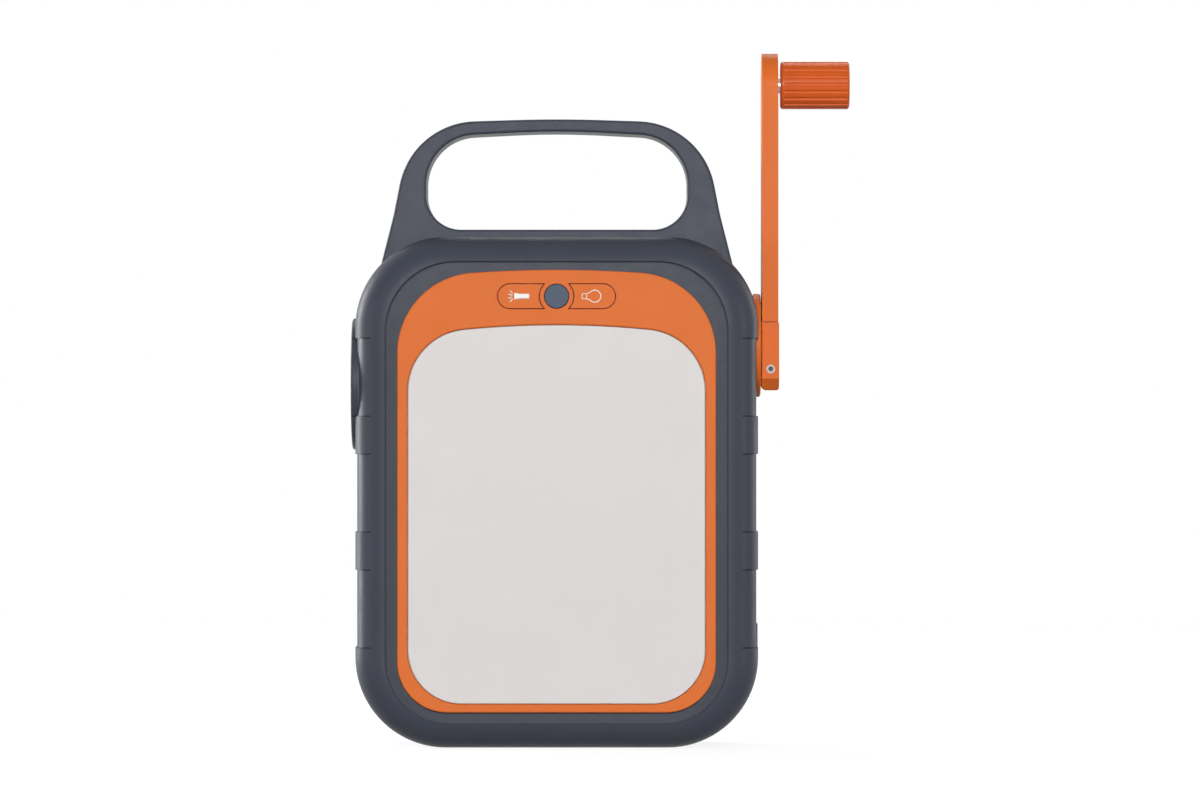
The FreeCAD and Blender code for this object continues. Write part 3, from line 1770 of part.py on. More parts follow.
def knob_pocket():
    """A lined pocket in the right side, cut off flush with the outside of the case."""
    outside = rounded_block("pocket_trim", 0, front_face, half_depth, d.edge_round)
    wall = d.pocket_wall
    beyond = half_width + wall

    def outline(grow):
        wide, low, high = pocket_half + grow, pocket_foot - grow, pocket_top + grow
        places = ((-wide, low), (wide, low), (wide, high), (-wide, high))
        return profile(*[(*place, d.pocket_corner) for place in places])

    liner = doc.addObject("PartDesign::Body", "pocket_liner")
    pad(liner, "YZ", (pocket_end - wall, beyond), outline(wall))
    pocket(liner, "YZ", (pocket_end, beyond + wall), outline(0))
    piece(common("knob_pocket", liner, outside))


# Generator

def generator():
    """A steel can with a wound ring inside, a magnet rotor and an end cap."""
    front = frame_face - d.seat_gap
    back = front - d.can_length
    wall = d.can_wall
    bore = d.rotor_shaft + d.running_gap
    can = turned(
        "generator_can",
        "x",
        rotor_axis,
        (d.can_radius - wall, back),
        (d.can_radius, back),
        (d.can_radius, front),
        (bore, front),
        (bore, front - wall),
        (d.can_radius - wall, front - wall),
    )
    piece(can)
    cap_back = back - d.can_cap
    shaft_back = back - wall
    cap = turned(
        "generator_cap",
        "x",
        rotor_axis,
        (0, cap_back),
        (d.can_radius, cap_back),
        (d.can_radius, back),
        (bore, back),
        (bore, shaft_back),
        (0, shaft_back),
    )
    piece(cap)
    middle = (front + back) / 2

    def about(length):
        return (middle - length / 2, middle + length / 2)

    coil_outer = d.can_radius - wall - d.fit_gap
    piece(ring("stator_coil", "x", rotor_axis, d.coil_inner, coil_outer, about(d.coil_length)))
    snug = d.rotor_shaft + d.press_gap
    piece(ring("rotor_magnet", "x", rotor_axis, snug, d.magnet_radius, about(d.magnet_length)))
    shaft_end = second_plane + d.second_gear_width + d.gear_side_gap
    shaft_span = (shaft_back + d.seat_gap, shaft_end)
    piece(rod("generator_shaft", "x", rotor_axis, d.rotor_shaft, shaft_span))


# Battery and main board

def battery():
    """Two round cells lying across the case in a cradle on the rear wall."""
    middle = cavity_rear - d.cell_floor - d.cell_radius
    start, end = d.cell_start, d.cell_start + d.cell_length
    rounded = d.cell_radius - d.cell_edge
    low, high = d.cell_low, d.cell_low + d.cell_pitch
    cells = [
        turned(
            name,
            "x",
            (middle, z),
            (0, start),
            (rounded, start),
            (d.cell_radius, start + d.cell_edge),
            (d.cell_radius, end - d.cell_edge),
            (rounded, end),
            (0, end),
        )
        for name, z in (("lower_cell", low), ("upper_cell", high))
    ]
    piece(group("battery_cells", *cells))
    gap = d.seat_gap
    margin = gap + d.cradle_wall
    trough = block(
        "cradle_block",
        (start - margin, end + margin),
        (cavity_rear - d.cradle_depth, cavity_rear - gap),
        (low - d.cell_radius - margin, high + d.cell_radius + margin),
    )
    rooms = [
        rod(name, "x", (middle, z), d.cell_radius + gap, (start - gap, end + gap))
        for name, z in (("lower_room", low), ("upper_room", high))
    ]
    piece(cut("battery_cradle", trough, *rooms))


def main_board():
    """The board on its posts, with three chips, two capacitors and a choke towards the front."""
    left, foot = d.board_left, d.board_foot
    piece(block("main_board", (left, d.board_right), (board_front, board_back), (foot, board_top)))
    near, low = left + d.board_post_inset, foot + d.chip_row
    chip_places = (
        (near, low),
        (near + d.chip_step, low + d.chip_step),
        (near, low + d.chip_step * 2),
    )
    size = d.chip_width
    chips = spread(
        "chip",
        chip_places,
        lambda name, x, z: block(
            name, (x, x + size), (board_front - d.chip_height, board_front), (z, z + size)
        ),
    )
    piece(group("board_chips", *chips))
    column, row = left + d.capacitor_inset, board_top - d.capacitor_drop
    capacitors = spread(
        "capacitor",
        ((column, row), (column + d.capacitor_pitch, row)),
        lambda name, x, z: rod(
            name, "y", (x, z), d.capacitor_radius, (board_front - d.capacitor_height, board_front)
        ),
    )
    piece(group("board_capacitors", *capacitors))
    place = (d.board_right - d.choke_inset, foot + d.choke_rise)
    span = (board_front - d.choke_height, board_front)
    piece(ring("charge_coil", "y", place, d.choke_inner, d.choke_radius, span))


case_halves()
case_screws()
handle()
front_plate()
keys()
lantern()
torch()
ports()
gear_train()
gearbox()
crank()
arm()
knob()
knob_pocket()
generator()
battery()
main_board()

doc.recompute()
for item in doc.Objects:
    if {"Invalid", "Error"} & set(item.State):
        raise SystemExit(f"{item.Label} failed: {item.State}")
for item in pieces:
    if item.Shape.isNull() or not item.Shape.isValid() or not item.Shape.Solids:
        raise SystemExit(f"{item.Label} has no valid solid")

os.makedirs("parts", exist_ok=True)
for item in pieces:
    item.Shape.exportStep(f"parts/{item.Label}.step")
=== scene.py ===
import math

import bmesh
import bpy
import numpy as np
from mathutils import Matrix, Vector


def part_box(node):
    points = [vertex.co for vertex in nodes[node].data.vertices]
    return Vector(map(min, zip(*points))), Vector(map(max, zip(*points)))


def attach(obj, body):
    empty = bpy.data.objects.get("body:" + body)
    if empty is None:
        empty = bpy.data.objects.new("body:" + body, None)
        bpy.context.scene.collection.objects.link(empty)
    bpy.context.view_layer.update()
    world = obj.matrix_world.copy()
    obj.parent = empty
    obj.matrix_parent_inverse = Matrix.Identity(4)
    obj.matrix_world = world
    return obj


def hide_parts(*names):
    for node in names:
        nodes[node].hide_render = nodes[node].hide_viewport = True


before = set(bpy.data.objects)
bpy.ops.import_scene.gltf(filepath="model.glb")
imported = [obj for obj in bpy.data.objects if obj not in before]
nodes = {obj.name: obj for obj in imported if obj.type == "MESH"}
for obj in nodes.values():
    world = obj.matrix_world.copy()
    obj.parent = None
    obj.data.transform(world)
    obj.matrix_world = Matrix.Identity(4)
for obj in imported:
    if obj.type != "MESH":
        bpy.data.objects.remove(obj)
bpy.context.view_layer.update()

# Case, handle, torch ring with its nut, and port door.
# All are moulded in one dark blue grey plastic with a fine satin grain. The handle's tenons sit in the
# shoulders of the shells, and painted shade darkens the steps at the ends of the grip recesses.

DRIFT_WAVES = 35
GLOSS_WAVES = 180
GLOSS_SPREAD = 0.03
COAT_ROUGHNESS = 0.25
RELIEF_SHARE = 0.35
CASE_COLOUR = (0.052, 0.058, 0.078)
CREASE_SHADE_COLOUR = (0.006, 0.0065, 0.009)
GRIP_MIDDLE = 0.0917
GRIP_ENDS = (0.014, 0.0276, 0.0556)
GRIP_INNER = 0.0667
CREASE_SHADE_HALF = 0.0001
CREASE_SHADE_FADE = 0.0003


def own_noise(tree, scale, detail, roughness=0.5, stretch=(1, 1, 1)):
    """Noise on the object's own coordinates, with a scale in waves per metre."""
    place = tree.nodes.new("ShaderNodeTexCoord")
    mapping = tree.nodes.new("ShaderNodeMapping")
    mapping.inputs["Scale"].default_value = stretch
    noise = tree.nodes.new("ShaderNodeTexNoise")
    noise.inputs["Scale"].default_value = scale
    noise.inputs["Detail"].default_value = detail
    noise.inputs["Roughness"].default_value = roughness
    tree.links.new(place.outputs["Object"], mapping.inputs["Vector"])
    tree.links.new(mapping.outputs["Vector"], noise.inputs["Vector"])
    return noise.outputs["Fac"]


def mapped(tree, value, start, end, low, high):
    """A value that runs from low at the start to high at the end, and stays there beyond them."""
    spread = tree.nodes.new("ShaderNodeMapRange")
    spread.inputs["From Min"].default_value = start
    spread.inputs["From Max"].default_value = end
    spread.inputs["To Min"].default_value = low
    spread.inputs["To Max"].default_value = high
    tree.links.new(value, spread.inputs["Value"])
    return spread.outputs["Result"]


def ranged(tree, noise, low, high):
    """A noise value, nearly all of which lies from 0.3 to 0.7, spread over a range."""
    return mapped(tree, noise, 0.3, 0.7, low, high)


def tinted(tree, value, colour, amount):
    """A colour that drifts a little lighter and darker with a noise value."""
    mix = tree.nodes.new("ShaderNodeMix")
    mix.data_type = "RGBA"
    mix.inputs["A"].default_value = (*[c * (1 - amount) for c in colour], 1)
    mix.inputs["B"].default_value = (*[min(1, c * (1 + amount)) for c in colour], 1)
    tree.links.new(value, mix.inputs["Factor"])
    return mix.outputs["Result"]


def new_material(name):
    """A material with a Principled shader, its node tree and that shader."""
    made = bpy.data.materials.new(name)
    made.use_nodes = True
    return made, made.node_tree, made.node_tree.nodes["Principled BSDF"]


def bump(tree, shader, height, strength, distance):
    """Surface relief from a height value, with its depth in metres."""
    relief = tree.nodes.new("ShaderNodeBump")
    relief.inputs["Strength"].default_value = strength
    relief.inputs["Distance"].default_value = distance
    tree.links.new(height, relief.inputs["Height"])
    tree.links.new(relief.outputs["Normal"], shader.inputs["Normal"])


def moulded(name, colour, roughness, grain, depth, drift=0.03, coat=0.0, specular=0.5):
    """A moulded finish: a fine grain, a slow drift of colour and an uneven gloss."""
    made, tree, shader = new_material(name)
    shader.inputs["Specular IOR Level"].default_value = specular
    shader.inputs["Coat Weight"].default_value = coat
    shader.inputs["Coat Roughness"].default_value = COAT_ROUGHNESS
    slow = ranged(tree, own_noise(tree, DRIFT_WAVES, 3), 0, 1)
    tree.links.new(tinted(tree, slow, colour, drift), shader.inputs["Base Color"])
    uneven = own_noise(tree, GLOSS_WAVES, 4)
    gloss = ranged(tree, uneven, roughness - GLOSS_SPREAD, roughness + GLOSS_SPREAD)
    tree.links.new(gloss, shader.inputs["Roughness"])
    bump(tree, shader, own_noise(tree, grain, 4, 0.6), RELIEF_SHARE, depth)
    return made


def paint(material, *names):
    """Gives CAD nodes a material."""
    for name in names:
        mesh = nodes[name].data
        mesh.materials.clear()
        mesh.materials.append(material)


def sum_of(tree, operation, *values):
    """One sum on sockets and plain numbers, such as a difference or the larger of two."""
    node = tree.nodes.new("ShaderNodeMath")
    node.operation = operation
    for slot, value in zip(node.inputs, values):
        if isinstance(value, float):
            slot.default_value = value
        else:
            tree.links.new(value, slot)
    return node.outputs[0]


def mixed_over(tree, share, colour):
    """Lays a second colour over the first one, by a share from 0 to 1."""
    base = tree.nodes["Principled BSDF"].inputs["Base Color"]
    mix = tree.nodes.new("ShaderNodeMix")
    mix.data_type = "RGBA"
    tree.links.new(share, mix.inputs["Factor"])
    tree.links.new(base.links[0].from_socket, mix.inputs["A"])
    mix.inputs["B"].default_value = (*colour, 1)
    tree.links.new(mix.outputs["Result"], base)


def shadow_line(tree, distance, colour, inner, outer):
    """Lays a dark line over the colour where a distance is under an inner value, and fades it out."""
    mixed_over(tree, mapped(tree, distance, inner, outer, 1, 0), colour)


def own_place(tree):
    """The three object coordinates of a point."""
    place = tree.nodes.new("ShaderNodeTexCoord")
    parts = tree.nodes.new("ShaderNodeSeparateXYZ")
    tree.links.new(place.outputs["Object"], parts.inputs[0])
    return parts.outputs


def paint_shade_at_grip_ends(material):
    """Painted shade in dark creases at the ends of the three grip recesses of each side: a point is on
    one where its height is an end's height and it is further out than the recess's inner edge."""
    tree = material.node_tree
    parts = own_place(tree)
    off_middle = sum_of(tree, "ABSOLUTE", sum_of(tree, "SUBTRACT", parts["Z"], GRIP_MIDDLE))
    nearest = 1.0
    for end in GRIP_ENDS:
        distance = sum_of(tree, "ABSOLUTE", sum_of(tree, "SUBTRACT", off_middle, end))
        nearest = sum_of(tree, "MINIMUM", distance, nearest)
    inside = sum_of(tree, "LESS_THAN", sum_of(tree, "ABSOLUTE", parts["X"]), GRIP_INNER)
    # Painted shade: a near black line along the recess ends, where the steps fall in shade.
    shadow_line(tree, sum_of(tree, "ADD", nearest, inside), CREASE_SHADE_COLOUR, CREASE_SHADE_HALF, CREASE_SHADE_FADE)


case_plastic = moulded(
    "case plastic", CASE_COLOUR, roughness=0.42, grain=2600, depth=0.000015, specular=0.12
)
paint_shade_at_grip_ends(case_plastic)
paint(case_plastic, "front_shell", "rear_shell", "handle", "torch_bezel", "port_door", "torch_nut")

# Orange bezel, side keys and crank.
# The bezel and the side keys are satin mouldings that clip in from the front, with a dark line of painted
# shade along the narrow gap between them. The crank's hub, fork and arm are lacquered aluminium, and its
# fluted grip has a darker copy of the lacquer as painted shade.

ORANGE = (0.735, 0.168, 0.035)
LACQUER = (0.735, 0.158, 0.027)
SHADED_GRIP_LACQUER = (0.66, 0.115, 0.02)
SEAM_SHADE_COLOUR = (0.20, 0.022, 0.004)
SEAM_SHADE_HALF = 0.00012
SEAM_SHADE_FADE = 0.00025
KEY_HALF = 0.00448
KEY_REACH = 0.0211
KEY_HOLLOW = 0.00622
ROUND_KEY = 0.00438
KEY_HEIGHT = sum(corner.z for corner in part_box("power_button")) / 2


def off_circle(tree, x, z, radius):
    """How far a point (x, z) is from a circle: the length of (x, z) less the radius, without its sign."""
    squares = sum_of(tree, "ADD", sum_of(tree, "MULTIPLY", x, x), sum_of(tree, "MULTIPLY", z, z))
    reach = sum_of(tree, "SQRT", squares)
    return sum_of(tree, "ABSOLUTE", sum_of(tree, "SUBTRACT", reach, radius)), reach


def paint_shade_in_seams(material):
    """Paints shade into the narrow gaps round the keys: a dark line follows the half round ends with
    their straight sides, the two hollow ends and the round key, wherever a point is nearly on one of
    them."""
    tree = material.node_tree
    parts = own_place(tree)
    x = sum_of(tree, "ABSOLUTE", parts["X"])
    z = sum_of(tree, "SUBTRACT", parts["Z"], KEY_HEIGHT)
    past_end = sum_of(tree, "MAXIMUM", sum_of(tree, "SUBTRACT", x, KEY_REACH - KEY_HALF), 0.0)
    ends, _ = off_circle(tree, past_end, z, KEY_HALF)
    hollow, reach = off_circle(tree, x, z, KEY_HOLLOW)
    around, _ = off_circle(tree, x, z, ROUND_KEY)
    ends = sum_of(tree, "ADD", ends, sum_of(tree, "LESS_THAN", reach, KEY_HOLLOW))
    above = sum_of(tree, "GREATER_THAN", sum_of(tree, "ABSOLUTE", z), KEY_HALF)
    hollow = sum_of(tree, "ADD", hollow, above)
    nearest = sum_of(tree, "MINIMUM", sum_of(tree, "MINIMUM", ends, hollow), around)
    # Painted shade: a dark line along the gaps round the keys.
    shadow_line(tree, nearest, SEAM_SHADE_COLOUR, SEAM_SHADE_HALF, SEAM_SHADE_FADE)


bezel_plastic = moulded(
    "bezel plastic", ORANGE, roughness=0.45, grain=3000, depth=0.00003, drift=0.02, specular=0.08
)
paint_shade_in_seams(bezel_plastic)
paint(bezel_plastic, "front_bezel", "torch_button", "lantern_button")
lacquer = moulded(
    "crank lacquer", LACQUER, roughness=0.36, grain=2200, depth=0.00002, drift=0.02, specular=0.06
)
paint(lacquer, "crank_hub", "crank_yoke", "crank_arm")
# Painted shade: the grip and its cap get a darker copy of the crank lacquer that stands for the shade
# among the flutes.
shaded_grip_lacquer = moulded(
    "grip lacquer with painted shade", SHADED_GRIP_LACQUER, roughness=0.3, grain=2200, depth=0.000004, drift=0.02, specular=0.1
)
paint(shaded_grip_lacquer, "knob_grip", "knob_cap")

# Round power key and the two seals.
# Soft blue grey rubber with a matte face. The key sits in the bezel's round hole, and the seals lie
# under the torch ring and round the crank shaft.

KEY_BLUE = (0.098, 0.122, 0.168)

key_rubber = moulded("key rubber", KEY_BLUE, roughness=0.6, grain=3400, depth=0.00004, specular=0.1)
paint(key_rubber, "power_button", "torch_seal", "shaft_seal")

# Lantern panel.
# A moulded milky sheet, held by its flange behind the bezel. It hides the lights behind it and lets a
# little light into its depth.

MILK = (0.716, 0.687, 0.676)
SCATTER_REACH = (0.002, 0.0018, 0.0016)

milk = moulded("milky panel", MILK, roughness=0.5, grain=1800, depth=0.00002, drift=0.012, specular=0.2)
shader = milk.node_tree.nodes["Principled BSDF"]
shader.inputs["Subsurface Weight"].default_value = 0.15
shader.inputs["Subsurface Radius"].default_value = SCATTER_REACH
shader.inputs["Subsurface Scale"].default_value = 0.5
paint(milk, "diffuser")

# Light tray, gear frame and cover, cell cradle and knob pocket.
# Plain mouldings fixed inside the shells: white ones, and a dark pocket that takes the folded knob.

WHITE = (0.70, 0.70, 0.68)
POCKET_GREY = (0.035, 0.038, 0.046)

white_plastic = moulded("white plastic", WHITE, roughness=0.5, grain=2400, depth=0.00003)
paint(white_plastic, "light_tray", "gearbox_frame", "gearbox_cover", "battery_cradle")
pocket_plastic = moulded("pocket plastic", POCKET_GREY, roughness=0.5, grain=2400, depth=0.00004)
paint(pocket_plastic, "knob_pocket")

# Circuit boards and what is soldered to them.
# Glass fibre boards with a green lacquer, on posts of the shells. The parts on them are black resin.

BOARD_GREEN = (0.02, 0.16, 0.07)
RESIN_BLACK = (0.012, 0.012, 0.013)

boards = ["lantern_board", "key_board", "port_board", "main_board", "torch_board"]
board_lacquer = moulded("board lacquer", BOARD_GREEN, roughness=0.35, grain=900, depth=0.00002, drift=0.1)
paint(board_lacquer, *boards)
black_resin = moulded("black resin", RESIN_BLACK, roughness=0.45, grain=2600, depth=0.00003)
paint(black_resin, "key_switches", "board_chips", "board_capacitors", "charge_coil", "port_posts")

# Light emitters of the lantern and the torch.
# Each is a yellow phosphor under a clear glossy coat, soldered to its board.

PHOSPHOR_YELLOW = (0.80, 0.66, 0.16)

phosphor = moulded("phosphor", PHOSPHOR_YELLOW, roughness=0.2, grain=2400, depth=0.00002, coat=0.6)
paint(phosphor, "lantern_leds", "torch_led")

# Case screws.
# Six pan head screws of bright plated steel hold the shells together from the rear. Each head has a
# rounded edge and a cross recess pressed into it.

MERGE_DISTANCE = 1e-6


def surface(name, points, material, wrap_u=False, wrap_v=False):
    """A mesh from a grid of points: each cell of the grid is one face, and a wrapped side of the grid
    closes on itself."""
    rows, columns = points.shape[:2]
    index = np.arange(rows * columns).reshape(rows, columns)
    if wrap_u:
        index = np.vstack([index, index[:1]])
    if wrap_v:
        index = np.hstack([index, index[:, :1]])
    faces = np.stack([index[:-1, :-1], index[1:, :-1], index[1:, 1:], index[:-1, 1:]], axis=-1)
    mesh = bpy.data.meshes.new(name)
    mesh.from_pydata(points.reshape(-1, 3).tolist(), [], faces.reshape(-1, 4).tolist())
    mesh.materials.append(material)
    mesh.shade_smooth()
    made = bpy.data.objects.new(name, mesh)
    bpy.context.scene.collection.objects.link(made)
    return made


def joined(name, parts):
    """Several meshes made one piece, under one name."""
    for other in bpy.context.selected_objects:
        other.select_set(False)
    for part in parts:
        part.select_set(True)
    bpy.context.view_layer.objects.active = parts[0]
    bpy.ops.object.join()
    parts[0].name = name
    return parts[0]


def closed(piece):
    """Makes one point of those that lie on each other, as at a pole, and turns the faces outwards."""
    shape = bmesh.new()
    shape.from_mesh(piece.data)
    bmesh.ops.remove_doubles(shape, verts=shape.verts, dist=MERGE_DISTANCE)
    bmesh.ops.recalc_face_normals(shape, faces=shape.faces)
    shape.to_mesh(piece.data)
    shape.free()
    return piece


SCREW_PLACES = [(0.063, 0.0705), (0.030, 0.010), (0.048, 0.1745)]
HEAD_RADIUS = 0.0028
HEAD_ROUND = 0.001
HEAD_SEAT = 0.0255
SHANK_RADIUS = 0.0015
CROSS_REACH = 0.00165
CROSS_HALF = 0.00032
CROSS_DEPTH = 0.0013
CROSS_SIDE = 0.0001
CROSS_END = 0.0002
PLATED_GREY = (0.55, 0.55, 0.56)

plated = moulded("plated steel", PLATED_GREY, roughness=0.32, grain=2600, depth=0.000006, drift=0.05)
plated.node_tree.nodes["Principled BSDF"].inputs["Metallic"].default_value = 1.0


def screw_form(tip, seat, top, steps=96):
    """Rings of (radius, level) from the tip to the middle of the head, turned about the screw's axis.
    Where a point's distance from the line of one of the cross's four arms is under half their width,
    the head is lower by the cross's depth, which is less towards the arms' ends."""
    angle = np.linspace(0, 2 * math.pi, steps, endpoint=False)
    outer = [(0.0, tip), (SHANK_RADIUS, tip), (SHANK_RADIUS, seat), (HEAD_RADIUS, seat)]
    outer.append((HEAD_RADIUS, top - HEAD_ROUND))
    bend = np.linspace(0, math.pi / 2, 6)
    edge_radius = HEAD_RADIUS - HEAD_ROUND * (1 - np.cos(bend))
    edge_level = top - HEAD_ROUND * (1 - np.sin(bend))
    crown = np.linspace(HEAD_RADIUS - HEAD_ROUND, 0, 26)[1:]
    middle = np.stack([crown, np.full(len(crown), top)], axis=1)
    rings = np.concatenate([outer, np.stack([edge_radius, edge_level], axis=1), middle])
    radius, level = rings[:, :1], rings[:, 1:]
    quarter = np.mod(angle + math.pi / 4, math.pi / 2) - math.pi / 4
    across = radius * np.abs(np.sin(quarter))
    along = radius * np.cos(quarter)
    inside = np.clip((CROSS_HALF - across) / CROSS_SIDE + 0.5, 0, 1)
    inside = inside * np.clip((CROSS_REACH - along) / CROSS_END, 0, 1)
    on_top = np.arange(len(rings))[:, None] >= len(outer)
    tapered = np.clip(1.2 - along / CROSS_REACH, 0.5, 1)
    level = level - CROSS_DEPTH * inside * on_top * tapered
    return np.stack([radius * np.cos(angle), level, radius * np.sin(angle)], axis=-1)


low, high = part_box("case_screws")
form = screw_form(low.y, HEAD_SEAT, high.y)
screws = []
for side in (-1, 1):
    for x, z in SCREW_PLACES:
        screws.append(surface("screw", form + np.array([side * x, 0, z]), plated, wrap_v=True))
head_screws = closed(joined("head_screws", screws))
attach(head_screws, "case")
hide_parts("case_screws")

# Shafts, gear screws, sockets, generator and fold pin.
# Bright drawn steel, turned or pressed, with brass for the pinion, the bushes and the wound ring. The
# pin is dull zinc, pressed into the fork, with painted shade that darkens it from just inside its ends,
# down in its hexagon sockets.

STEEL_GREY = (0.60, 0.60, 0.61)
BRASS_YELLOW = (0.70, 0.50, 0.20)
ZINC_GREY = (0.60, 0.57, 0.54)
SOCKET_SHADE_GREY = (0.13, 0.14, 0.16)
SOCKET_SHADE_FADE = 0.0001
SOCKET_SHADE_FULL = 0.0008
SCRATCH_WAVES = 4000
SCRATCH_STRETCH = 0.01
SCRATCH_DEPTH = 0.00001
TARNISH_WAVES = 60
TARNISH = 0.04


def brushed(name, colour, roughness, axis):
    """Metal drawn along an axis: the noise is stretched a hundredfold along it."""
    made, tree, shader = new_material(name)
    shader.inputs["Metallic"].default_value = 1.0
    stretch = [SCRATCH_STRETCH if "xyz"[i] == axis else 1 for i in range(3)]
    fine = own_noise(tree, SCRATCH_WAVES, 3, 0.6, stretch)
    slow = ranged(tree, own_noise(tree, TARNISH_WAVES, 2), 0, 1)
    tree.links.new(tinted(tree, slow, colour, TARNISH), shader.inputs["Base Color"])
    tree.links.new(ranged(tree, fine, roughness - 0.05, roughness + 0.07), shader.inputs["Roughness"])
    bump(tree, shader, fine, 0.25, SCRATCH_DEPTH)
    return made


steel = brushed("steel", STEEL_GREY, roughness=0.28, axis="x")
paint(steel, "gearbox_screws", "crank_shaft", "shaft_clip", "hub_screw", "knob_spindle")
paint(steel, "idler_axle", "generator_shaft", "generator_can", "generator_cap", "rotor_magnet")
paint(steel, "wide_socket", "small_socket")
dull_zinc = moulded("dull zinc", ZINC_GREY, roughness=0.5, grain=4000, depth=0.00001, specular=0.1)
pin_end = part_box("fold_pin")[1].y
tree = dull_zinc.node_tree
off_middle = sum_of(tree, "ABSOLUTE", own_place(tree)["Y"])
# Painted shade: dark grey on the pin from 0.1 mm inside its ends, full at 0.8 mm in, for the shade in its
# hexagon sockets.
shadow_line(tree, off_middle, SOCKET_SHADE_GREY, pin_end - SOCKET_SHADE_FULL, pin_end - SOCKET_SHADE_FADE)
paint(dull_zinc, "fold_pin")
brass = brushed("brass", BRASS_YELLOW, roughness=0.3, axis="x")
paint(brass, "generator_pinion", "crank_bushes", "stator_coil")

# Crank gear and idler gear.
# Moulded in ivory acetal, slightly waxy, and held on their shafts between the frame and its cover.

ACETAL_IVORY = (0.72, 0.68, 0.56)

acetal = moulded("gear acetal", ACETAL_IVORY, roughness=0.38, grain=2000, depth=0.00002)
paint(acetal, "crank_gear", "idler_gear")

# Battery cells.
# Two steel cells, each in a blue sleeve that is shrunk on, lying in their cradle.

SLEEVE_BLUE = (0.02, 0.09, 0.33)

sleeve = moulded("cell sleeve", SLEEVE_BLUE, roughness=0.3, grain=1200, depth=0.00003, coat=0.3)
paint(sleeve, "battery_cells")

# Torch lens and reflector.
# The lens is clear acrylic behind the ring. The reflector behind it is a thin moulded dish with a
# bright metal film, open in the middle for the emitter, and its flange rests against the lens.

LENS_TINT = (0.96, 0.98, 1.0, 1)
FILM_GREY = (0.85, 0.85, 0.86, 1)
DISH_WALL = 0.0012
DISH_MOUTH = 0.0172
DISH_HOLE = 0.0032

glass, tree, shader = new_material("torch glass")
shader.inputs["Transmission Weight"].default_value = 1.0
shader.inputs["IOR"].default_value = 1.49
shader.inputs["Base Color"].default_value = LENS_TINT
tree.links.new(ranged(tree, own_noise(tree, 300, 3), 0.0, 0.05), shader.inputs["Roughness"])
paint(glass, "torch_lens")
mirror, tree, shader = new_material("reflector film")
shader.inputs["Metallic"].default_value = 1.0
shader.inputs["Base Color"].default_value = FILM_GREY
tree.links.new(ranged(tree, own_noise(tree, 500, 3), 0.06, 0.16), shader.inputs["Roughness"])


def turned(name, profile, height, material, steps=96):
    """A closed profile turned about the torch's axis: each point (radius, x) goes round a circle."""
    angle = np.linspace(0, 2 * math.pi, steps, endpoint=False)[:, None]
    radius, place = profile[:, 0], profile[:, 1]
    points = np.stack(
        [
            np.broadcast_to(place, (steps, len(profile))),
            radius * np.cos(angle),
            height + radius * np.sin(angle),
        ],
        axis=-1,
    )
    return surface(name, points, material, wrap_u=True, wrap_v=True)


low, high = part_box("torch_reflector")
rim = (high.z - low.z) / 2
radius = np.linspace(DISH_MOUTH, DISH_HOLE, 48)
share = (DISH_MOUTH**2 - radius**2) / (DISH_MOUTH**2 - DISH_HOLE**2)
dish = np.stack([radius, low.x + share * (high.x - low.x)], axis=1)
back = dish[::-1] + [DISH_WALL, 0]
back = back[back[:, 1] > low.x + DISH_WALL]
flange = np.array([[rim, low.x + DISH_WALL], [rim, low.x]])
profile = np.concatenate([dish, back, flange])
torch_dish = closed(turned("torch_dish", profile, (high.z + low.z) / 2, mirror))
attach(torch_dish, "case")
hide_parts("torch_reflector")

# Torch symbol on the left key.
# A thin coat of white ink printed on the key's face: a torch whose head is a little wider than its
# tube, with four rays in front of it.

INK_WHITE = (0.86, 0.84, 0.80)
INK_THICKNESS = 0.00005
STROKE = 0.00034
TORCH_HEAD = -0.0152
TORCH_TAIL = -0.0098
TORCH_HEAD_HALF = 0.00115
TORCH_TUBE_HALF = 0.00088
HEAD_LENGTH = 0.0009
FLARE_LENGTH = 0.0008
RAY_NEAR = 0.0007
RAY_FAR = 0.0022
RAY_TURNS = (-48, -16, 16, 48)

key_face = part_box("torch_button")[0].y
ink = moulded("white ink", INK_WHITE, roughness=0.5, grain=3000, depth=0.00001)


def stroke(name, xs, zs, loop=False):
    """A flat band on the key's face: each point of the line is moved half the stroke to both sides."""
    line = np.stack([xs, zs], axis=1)
    if loop:
        ahead, behind = np.roll(line, -1, axis=0), np.roll(line, 1, axis=0)
        tangent = ahead - behind
    else:
        tangent = np.gradient(line, axis=0)
    tangent /= np.linalg.norm(tangent, axis=1, keepdims=True)
    side = np.stack([-tangent[:, 1], tangent[:, 0]], axis=1) * STROKE / 2
    flat = np.stack([line - side, line + side], axis=1)
    points = np.stack([flat[..., 0], np.full(flat.shape[:2], key_face), flat[..., 1]], axis=-1)
    return surface(name, points, ink, wrap_u=loop)


def printed(piece):
    """Gives the ink its thickness, half of it on each side of the key's face."""
    coat = piece.modifiers.new("ink", "SOLIDIFY")
    coat.thickness = INK_THICKNESS
    coat.offset = 0
    return piece


